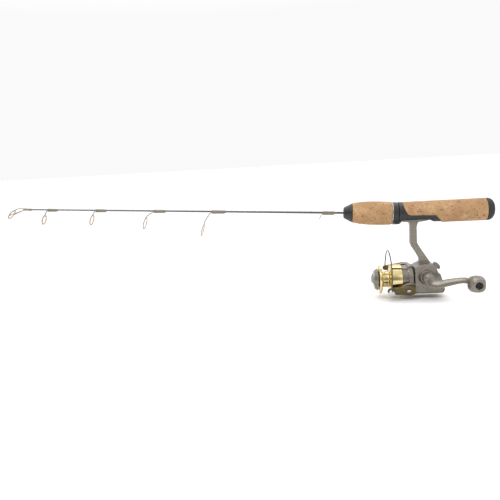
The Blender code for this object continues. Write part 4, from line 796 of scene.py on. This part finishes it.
def make_lever():
    x, z = 0.0242, -0.0690
    thumb = slab("lever_thumb", [
        (0.0006, 0.0030), (0.0012, 0.0046, 0.0006), (0.0020, 0.0064, 0.001), (0.0050, 0.0056, 0.002),
        (0.0074, 0.0026, 0.002), (0.0078, -0.0006, 0.001), (0.0064, -0.0026, 0.0012),
        (0.0042, -0.0014, 0.001), (0.0030, -0.0010)], -0.0048, 0.0048, 0.0007, at(x, 0.0, z))
    hub = lathe("lever_hub", solid(0.0048, -0.0048, 0.0035, 0.0004), at(x, 0.0, z) @ FAR_SIDE, 48)
    pin = lathe("lever_pin", solid(0.0092, -0.0092, 0.0009), at(x, 0.0, z) @ FAR_SIDE, 20)
    toward = math.atan2(CRANK_Z - z, CRANK_X - x)
    reach = math.hypot(CRANK_X - x, CRANK_Z - z) - 0.0043
    pawl = slab("pawl", [(0.0, 0.0016), (reach, 0.0006), (reach, -0.0002), (0.0, -0.0016)],
                -0.0047, -0.0031, 0.0002, at(x, 0.0, z) @ Matrix.Rotation(-toward, 4, "Y"))
    fuse(thumb, hub, pin, pawl)
    melt(thumb, 0.00022, 2)
    show(thumb, "anti_reverse_lever")


# ================================================================ spool and drag
def make_spool():
    lip, rear, skirt = -0.0428, -0.0388, -0.0294
    spool = lathe("spool_shell", [
        (-0.0158, 0.0183, 0.0004), (skirt + 0.0016, 0.0183, 0.0010), (skirt + 0.0004, 0.0174, 0.001),
        (skirt, 0.0163, 0.0012), (skirt - 0.0009, 0.0110, 0.001), (skirt - 0.0022, 0.0098, 0.0015),
        (rear + 0.0012, 0.0098, 0.0015), (rear, 0.0110, 0.001), (rear - 0.0006, 0.0166, 0.0010),
        (rear - 0.0014, 0.0178, 0.0010), (lip + 0.0010, 0.0178, 0.0010), (lip, 0.0164, 0.0008),
        (lip, 0.0114, 0.0004), (lip + 0.0030, 0.0106, 0.0006), (lip + 0.0040, 0.0092, 0.0004),
        (lip + 0.0042, 0.0016), (lip + 0.0060, 0.0016), (lip + 0.0060, 0.0084),
        (skirt + 0.0008, 0.0084), (skirt + 0.0016, 0.0164), (skirt + 0.0026, 0.0174, 0.0006),
        (-0.0158, 0.0174, 0.0003)], REEL @ ALONG_X, 144)
    show(spool, "spool")


def make_drag_knob():
    front, face = -0.0512, -0.0434
    knob = lathe("drag_knob_body", [
        (-0.0416, 0.0080), (face, 0.0098), (face - 0.0004, 0.0136, 0.0004),
        (face - 0.0010, 0.0140, 0.0005), (-0.0452, 0.0131, 0.0010), (-0.0470, 0.0121, 0.0010),
        (-0.0487, 0.0107, 0.0010), (-0.0498, 0.0092, 0.0008), (front, 0.0055, 0.0020),
        (front, 0.0022, 0.0002), (front + 0.0006, 0.0020, 0.0001), (front + 0.0008, 0.0006),
        (-0.0416, 0.0006)], REEL @ ALONG_X, 144)
    for side in (-1, 1):
        scoop = slab("scoop", [
            (front - 0.002, side * 0.0030), (front + 0.0026, side * 0.0034, 0.0008),
            (front + 0.0032, side * 0.0120, 0.0008), (front - 0.002, side * 0.0130)],
            -0.0086, 0.0086, 0.0006, REEL)
        cut(knob, scoop)
    melt(knob, 0.00022, 2)
    show(knob, "drag_knob")


# ================================================================ rotor and bail
PIVOT_X = -0.0095
ROLLER_X = -0.0307
EAR_IN, EAR_OUT = 0.0190, 0.0219
ARM_IN, ARM_OUT = 0.0222, 0.0246
NOSE_IN, NOSE_OUT = 0.0282, 0.0308
BAIL_REACH, BAIL_LEAN = 0.0398, 0.0010
BAIL_SQUARENESS = 2.3    # 2 is an ellipse


def arc(cx, cz, radius, start, end, count):
    angles = [math.radians(start + (end - start) * i / count) for i in range(count + 1)]
    return [(cx + radius * math.cos(a), cz + radius * math.sin(a)) for a in angles]


def make_rotor():
    rotor = lathe("rotor_cup", [
        (-0.0025, 0.0181, 0.0004), (-0.0033, 0.0188, 0.0008), (-0.0084, 0.0188, 0.0006),
        (-0.0084, 0.0168), (-0.0205, 0.0168), (-0.0205, 0.0152), (-0.0104, 0.0152),
        (-0.0104, 0.0024), (-0.0084, 0.0024), (-0.0084, 0.0174), (-0.0025, 0.0174)],
        ROTOR @ ALONG_X, 128)
    side = [(-0.0025, -0.0085, 0.001), (-0.0055, -0.0092, 0.004), (-0.0120, -0.0082, 0.004)]
    side += arc(PIVOT_X - 0.0035, 0.0, 0.0066, -100, -260, 16)
    side += [(-0.0120, 0.0082, 0.004), (-0.0055, 0.0092, 0.004), (-0.0025, 0.0085, 0.001)]
    for way in (-1, 1):
        low, high = sorted((way * EAR_IN, way * EAR_OUT))
        ear = slab("ear", side, low, high, 0.0009, ROTOR)
        root_low, root_high = sorted((way * 0.0146, way * 0.0206))
        root = slab("ear_root", [(-0.0027, -0.0082), (-0.0082, -0.0088), (-0.0082, 0.0088),
                                 (-0.0027, 0.0082)], root_low, root_high, 0.0, ROTOR)
        cut(root, lathe("inside", solid(0.0, -0.02, 0.0174), ROTOR @ ALONG_X, 96))
        fuse(rotor, root, ear)
        cut(rotor, lathe("ear_hole", solid(0.03, 0.01, 0.0014), ROTOR @ at(PIVOT_X, 0.0, 0.0)
                         @ (NEAR_SIDE if way < 0 else FAR_SIDE), 32))
    melt(rotor, 0.00034, 3)
    show(rotor, "rotor")


def arm_outline(front_x, front_r, shrink=0.0):
    """A lobe round the pivot that tapers to a round end at front_x, drawn in by shrink."""
    lobe = 0.0075 - shrink
    points = [(-0.0014 - shrink, -0.0050 + shrink, 0.001), (-0.0040, -0.0068 + shrink, 0.002)]
    points += arc(PIVOT_X, 0.0, lobe, -70, -112, 5)
    points += arc(front_x, 0.0, front_r - shrink, -100, -260, 16)
    points += arc(PIVOT_X, 0.0, lobe, 112, 70, 5)
    points += [(-0.0040, 0.0068 - shrink, 0.002), (-0.0014 - shrink, 0.0050 - shrink, 0.001)]
    return points


def make_bail():
    for way, label in ((-1, "near"), (1, "far")):
        outward = NEAR_SIDE if way < 0 else FAR_SIDE
        low, high = sorted((way * ARM_IN, way * ARM_OUT))
        tip_r = 0.0043 if way < 0 else 0.0034
        arm = slab("bail_arm", arm_outline(ROLLER_X, tip_r), low, high, 0.0007, ROTOR)
        low, high = sorted((way * (ARM_OUT - 0.0007), way * (ARM_OUT + 0.002)))
        recess = slab("recess", arm_outline(ROLLER_X + 0.0046, tip_r - 0.0002, 0.0014), low, high,
                      0.0, ROTOR)
        cut(arm, recess)
        cut(arm, lathe("pivot_hole", solid(0.04, 0.0, 0.0014),
                       ROTOR @ at(PIVOT_X, 0.0, 0.0) @ outward, 32))
        melt(arm, 0.00020, 2)
        show(arm, f"bail_arm_{label}")
        place = ROTOR @ at(PIVOT_X, 0.0, 0.0) @ outward
        screw = lathe("bail_screw", [
            (ARM_OUT + 0.0012, 0.0), (ARM_OUT + 0.0010, 0.0014, 0.002),
            (ARM_OUT + 0.0003, 0.0024, 0.0004), (ARM_OUT + 0.00012, 0.0024),
            (ARM_OUT + 0.00012, 0.0011), (EAR_IN, 0.0011), (EAR_IN, 0.0)],
            place, 48)
        cross_slots(screw, place, ARM_OUT + 0.0011, 0.0011)
        show(screw, f"bail_screw_{label}")
    place = ROTOR @ at(ROLLER_X, 0.0, 0.0) @ NEAR_SIDE
    low = ARM_OUT + 0.0003
    show(lathe("line_roller_wheel", [
        (low + 0.0030, 0.0032, 0.0003), (low + 0.0019, 0.0025, 0.0006), (low + 0.0011, 0.0025, 0.0006),
        (low, 0.0032, 0.0003), (low, 0.0014), (low + 0.0030, 0.0014)], place, 64), "line_roller")
    nose = lathe("bail_nose_cap", [
        (NOSE_OUT, 0.0), (NOSE_OUT - 0.0002, 0.0018, 0.001), (NOSE_OUT - 0.0009, 0.0040, 0.001),
        (NOSE_OUT - 0.0018, 0.0043, 0.0004), (NOSE_IN, 0.0043, 0.0003), (NOSE_IN, 0.0011),
        (ARM_IN + 0.0004, 0.0011), (ARM_IN + 0.0004, 0.0)], place, 72)
    show(nose, "bail_nose")
    near_root, far_root = -(NOSE_IN + 0.0012), ARM_OUT + 0.0008
    middle, half = (near_root + far_root) / 2, (far_root - near_root) / 2
    loop = [(ROLLER_X, near_root, 0.0)]
    for i in range(1, 64):
        a = math.pi * i / 64
        rise = math.sin(a) ** (2 / BAIL_SQUARENESS)
        across = math.copysign(abs(math.cos(a)) ** (2 / BAIL_SQUARENESS), math.cos(a))
        loop.append((ROLLER_X - BAIL_LEAN * rise, middle - half * across, BAIL_REACH * rise))
    loop += [(ROLLER_X, far_root, 0.0), (ROLLER_X, ARM_IN + 0.0006, 0.0)]
    show(sweep("bail_wire_loop", loop, 0.00075, ROTOR, 20, side=(1, 0, 0)), "bail_wire")


# ================================================================ crank
KNOB_X, KNOB_Z, TIP_Y = 0.0583, -0.0790, -0.0460
KNOB_SQUARENESS = 2.8    # 2 is round
KNOB_WIDTH = 0.925       # of the round profile, across the flats
KNOB_ROUND_R = 0.0046    # within it the knob stays round, for its pin


def make_crank():
    sections = ((CRANK_X, -0.0300, CRANK_Z, 0.0060),
                (CRANK_X + 0.0022, -0.0322, CRANK_Z - 0.0052, 0.0056),
                (0.0225, -0.0352, -0.0834, 0.0050), (0.0319, -0.0385, -0.0806, 0.0045),
                (0.0474, -0.0433, -0.0774, 0.0037), (KNOB_X, TIP_Y, KNOB_Z, 0.0041))
    path = spline([s[:3] for s in sections], 8)
    widths = [v.x for v in spline([(s[3], 0.0, 0.0) for s in sections], 8)]
    arm = sweep("crank_bar", path, widths, None, 32, flat=0.42)
    hub = lathe("crank_hub", [
        (0.0201, 0.0), (0.0201, 0.0060, 0.0004), (0.0213, 0.0064, 0.0006), (0.0296, 0.0064, 0.0020),
        (0.0322, 0.0040, 0.0020), (0.0322, 0.0)], CRANK @ NEAR_SIDE, 72)
    end = lathe("crank_eye", solid(-TIP_Y + 0.0023, -TIP_Y - 0.0023, 0.0046, 0.0006),
                at(KNOB_X, 0.0, KNOB_Z) @ NEAR_SIDE, 64)
    fuse(arm, hub, end)
    cut(arm, lathe("pin_hole", solid(0.06, 0.03, 0.0020), at(KNOB_X, 0.0, KNOB_Z) @ NEAR_SIDE, 40))
    melt(arm, 0.00026, 4)
    show(arm, "crank_arm")
    cap = lathe("crank_cap", [
        (HALF + 0.0062, 0.0), (HALF + 0.0062, 0.0040, 0.0006), (HALF + 0.0052, 0.0052, 0.0004),
        (HALF + 0.0034, 0.0052, 0.0002), (HALF + 0.0034, 0.0)], CRANK @ FAR_SIDE, 64)
    cross_slots(cap, CRANK @ FAR_SIDE, HALF + 0.0062, 0.0030)
    show(cap, "crank_screw_cap")


def make_knob():
    """An egg-shaped knob with flattened faces, open at its end round the pin's head."""
    root = -TIP_Y + 0.0026
    end = root + 0.0190
    place = at(KNOB_X, 0.0, KNOB_Z) @ NEAR_SIDE
    knob = lathe("knob_shell", [
        (root, 0.0020), (root, 0.0058, 0.0010), (root + 0.0016, 0.0082, 0.003),
        (root + 0.0050, 0.0102, 0.006), (root + 0.0090, 0.0106, 0.01), (root + 0.0140, 0.0097, 0.01),
        (end - 0.0012, 0.0080, 0.003), (end, 0.0066, 0.0010), (end, 0.0042, 0.0004),
        (end - 0.0034, 0.0042, 0.0003), (end - 0.0034, 0.0020)], place, 96)
    back = place.inverted()
    for vertex in knob.data.vertices:
        local = back @ (knob.matrix_world @ vertex.co)
        reach = math.hypot(local.x, local.y)
        if reach < KNOB_ROUND_R:
            continue
        square = (abs(local.x / reach) ** KNOB_SQUARENESS
                  + abs(local.y / reach) ** KNOB_SQUARENESS) ** (-1 / KNOB_SQUARENESS)
        local.x *= KNOB_WIDTH * square
        local.y *= KNOB_WIDTH * square
        vertex.co = knob.matrix_world.inverted() @ (place @ local)
    show(knob, "crank_knob")
    pin = lathe("knob_screw", [
        (end - 0.0019, 0.0), (end - 0.0021, 0.0024, 0.001), (end - 0.0028, 0.0036, 0.0004),
        (end - 0.0031, 0.0036), (end - 0.0031, 0.0017), (root - 0.0040, 0.0017), (root - 0.0040, 0.0)],
        place, 48)
    cross_slots(pin, place, end - 0.0020, 0.0018)
    # The pin takes the near-black finish, which is painted shade for the socket round it, not its
    # slot's finish.
    show(pin, "knob_pin", SOCKET_PAINTED_SHADE)


def dress_inner_nodes():
    """CAD nodes that stay shown get their slot's finish."""
    for name, node in frame["nodes"].items():
        if node.hide_render:
            continue
        node.data.materials.clear()
        node.data.materials.append(PAINTS[SLOT[name]])
        node.data.shade_smooth()
        node.data.set_sharp_from_angle(angle=math.radians(35))


# ================================================================ studio
def make_studio():
    scene = bpy.context.scene
    shape = bmesh.new()
    bmesh.ops.create_grid(shape, x_segments=1, y_segments=1, size=30.0)
    floor = shaped("floor", shape, at(0.0, 0.0, CAD_BOX[0].z - 0.004))
    paint = Paint("floor_paint", (0.86, 0.86, 0.86), 0.7)
    paint.drive("Base Color", paint.ramp(paint.noise(3.0, 2.0), (0.3, 0.84), (0.7, 0.88)))
    floor.data.materials.append(paint.material)
    world = bpy.data.worlds.new("studio")
    world.use_nodes = True
    nodes, links = world.node_tree.nodes, world.node_tree.links
    split = nodes.new("ShaderNodeSeparateXYZ")
    links.new(nodes.new("ShaderNodeTexCoord").outputs["Generated"], split.inputs[0])
    fade = nodes.new("ShaderNodeMapRange")
    glow = nodes.new("ShaderNodeMapRange")
    total = nodes.new("ShaderNodeMath")
    for slope, axis, ends in ((fade, "Y", (-0.35, 0.15, 0.35, 0.95)),
                              (glow, "Z", (0.25, 0.8, 0.0, 0.8))):
        for socket, value in zip(("From Min", "From Max", "To Min", "To Max"), ends):
            slope.inputs[socket].default_value = value
        links.new(split.outputs[axis], slope.inputs["Value"])
    links.new(fade.outputs["Result"], total.inputs[0])
    links.new(glow.outputs["Result"], total.inputs[1])
    links.new(total.outputs["Value"], nodes["Background"].inputs["Strength"])
    nodes["Background"].inputs["Color"].default_value = (1.0, 1.0, 1.0, 1.0)
    scene.world = world
    scene.view_settings.view_transform = "Standard"
    for name, place, size, power, aim in (
            ("key", (-0.45, -0.75, 0.95), 0.8, 6.0, (-0.1, 0.0, -0.03)),
            ("fill", (0.70, -0.80, 0.30), 0.9, 2.2, (0.0, 0.0, -0.04)),
            ("top", (-0.1, 0.35, 1.1), 1.0, 4.0, (-0.1, 0.0, 0.0))):
        light = bpy.data.lights.new(name, "AREA")
        light.shape = "SQUARE"
        light.size = size
        light.energy = power
        holder = bpy.data.objects.new(name, light)
        holder.location = place
        way = Vector(aim) - Vector(place)
        holder.rotation_euler = way.to_track_quat("-Z", "Y").to_euler()
        scene.collection.objects.link(holder)


def make_camera():
    """The photograph's own viewpoint: a little to the left, above, and tilted."""
    yaw, pitch, roll = math.radians(-4.963), math.radians(9.0), math.radians(3.207)
    forward = Vector((math.sin(yaw) * math.cos(pitch), math.cos(yaw) * math.cos(pitch),
                      -math.sin(pitch)))
    level = Vector((math.cos(yaw), -math.sin(yaw), 0.0))
    upright = level.cross(forward)
    right = math.cos(roll) * level - math.sin(roll) * upright
    up = math.sin(roll) * level + math.cos(roll) * upright
    lens = bpy.data.cameras.new("camera")
    lens.sensor_width = 36.0
    lens.lens = 38.95
    lens.clip_start = 0.01
    holder = bpy.data.objects.new("camera", lens)
    turn = Matrix((right, up, -forward)).transposed()
    holder.matrix_world = Matrix.Translation((-0.14335, -0.67442, 0.06919)) @ turn.to_4x4()
    bpy.context.scene.collection.objects.link(holder)
    bpy.context.scene.camera = holder


make_blank()
for index, sizes in enumerate(GUIDES):
    make_guide(index + 1, *sizes)
make_tip_top()
make_keeper()
make_rear_grip()
make_butt_cap()
make_seat()
make_hood()
make_foregrip()
make_reel_body()
make_side_cover()
make_cover_screws()
make_bottom_trim()
make_lever()
make_spool()
make_drag_knob()
make_rotor()
make_bail()
make_crank()
make_knob()
dress_inner_nodes()
make_studio()
make_camera()
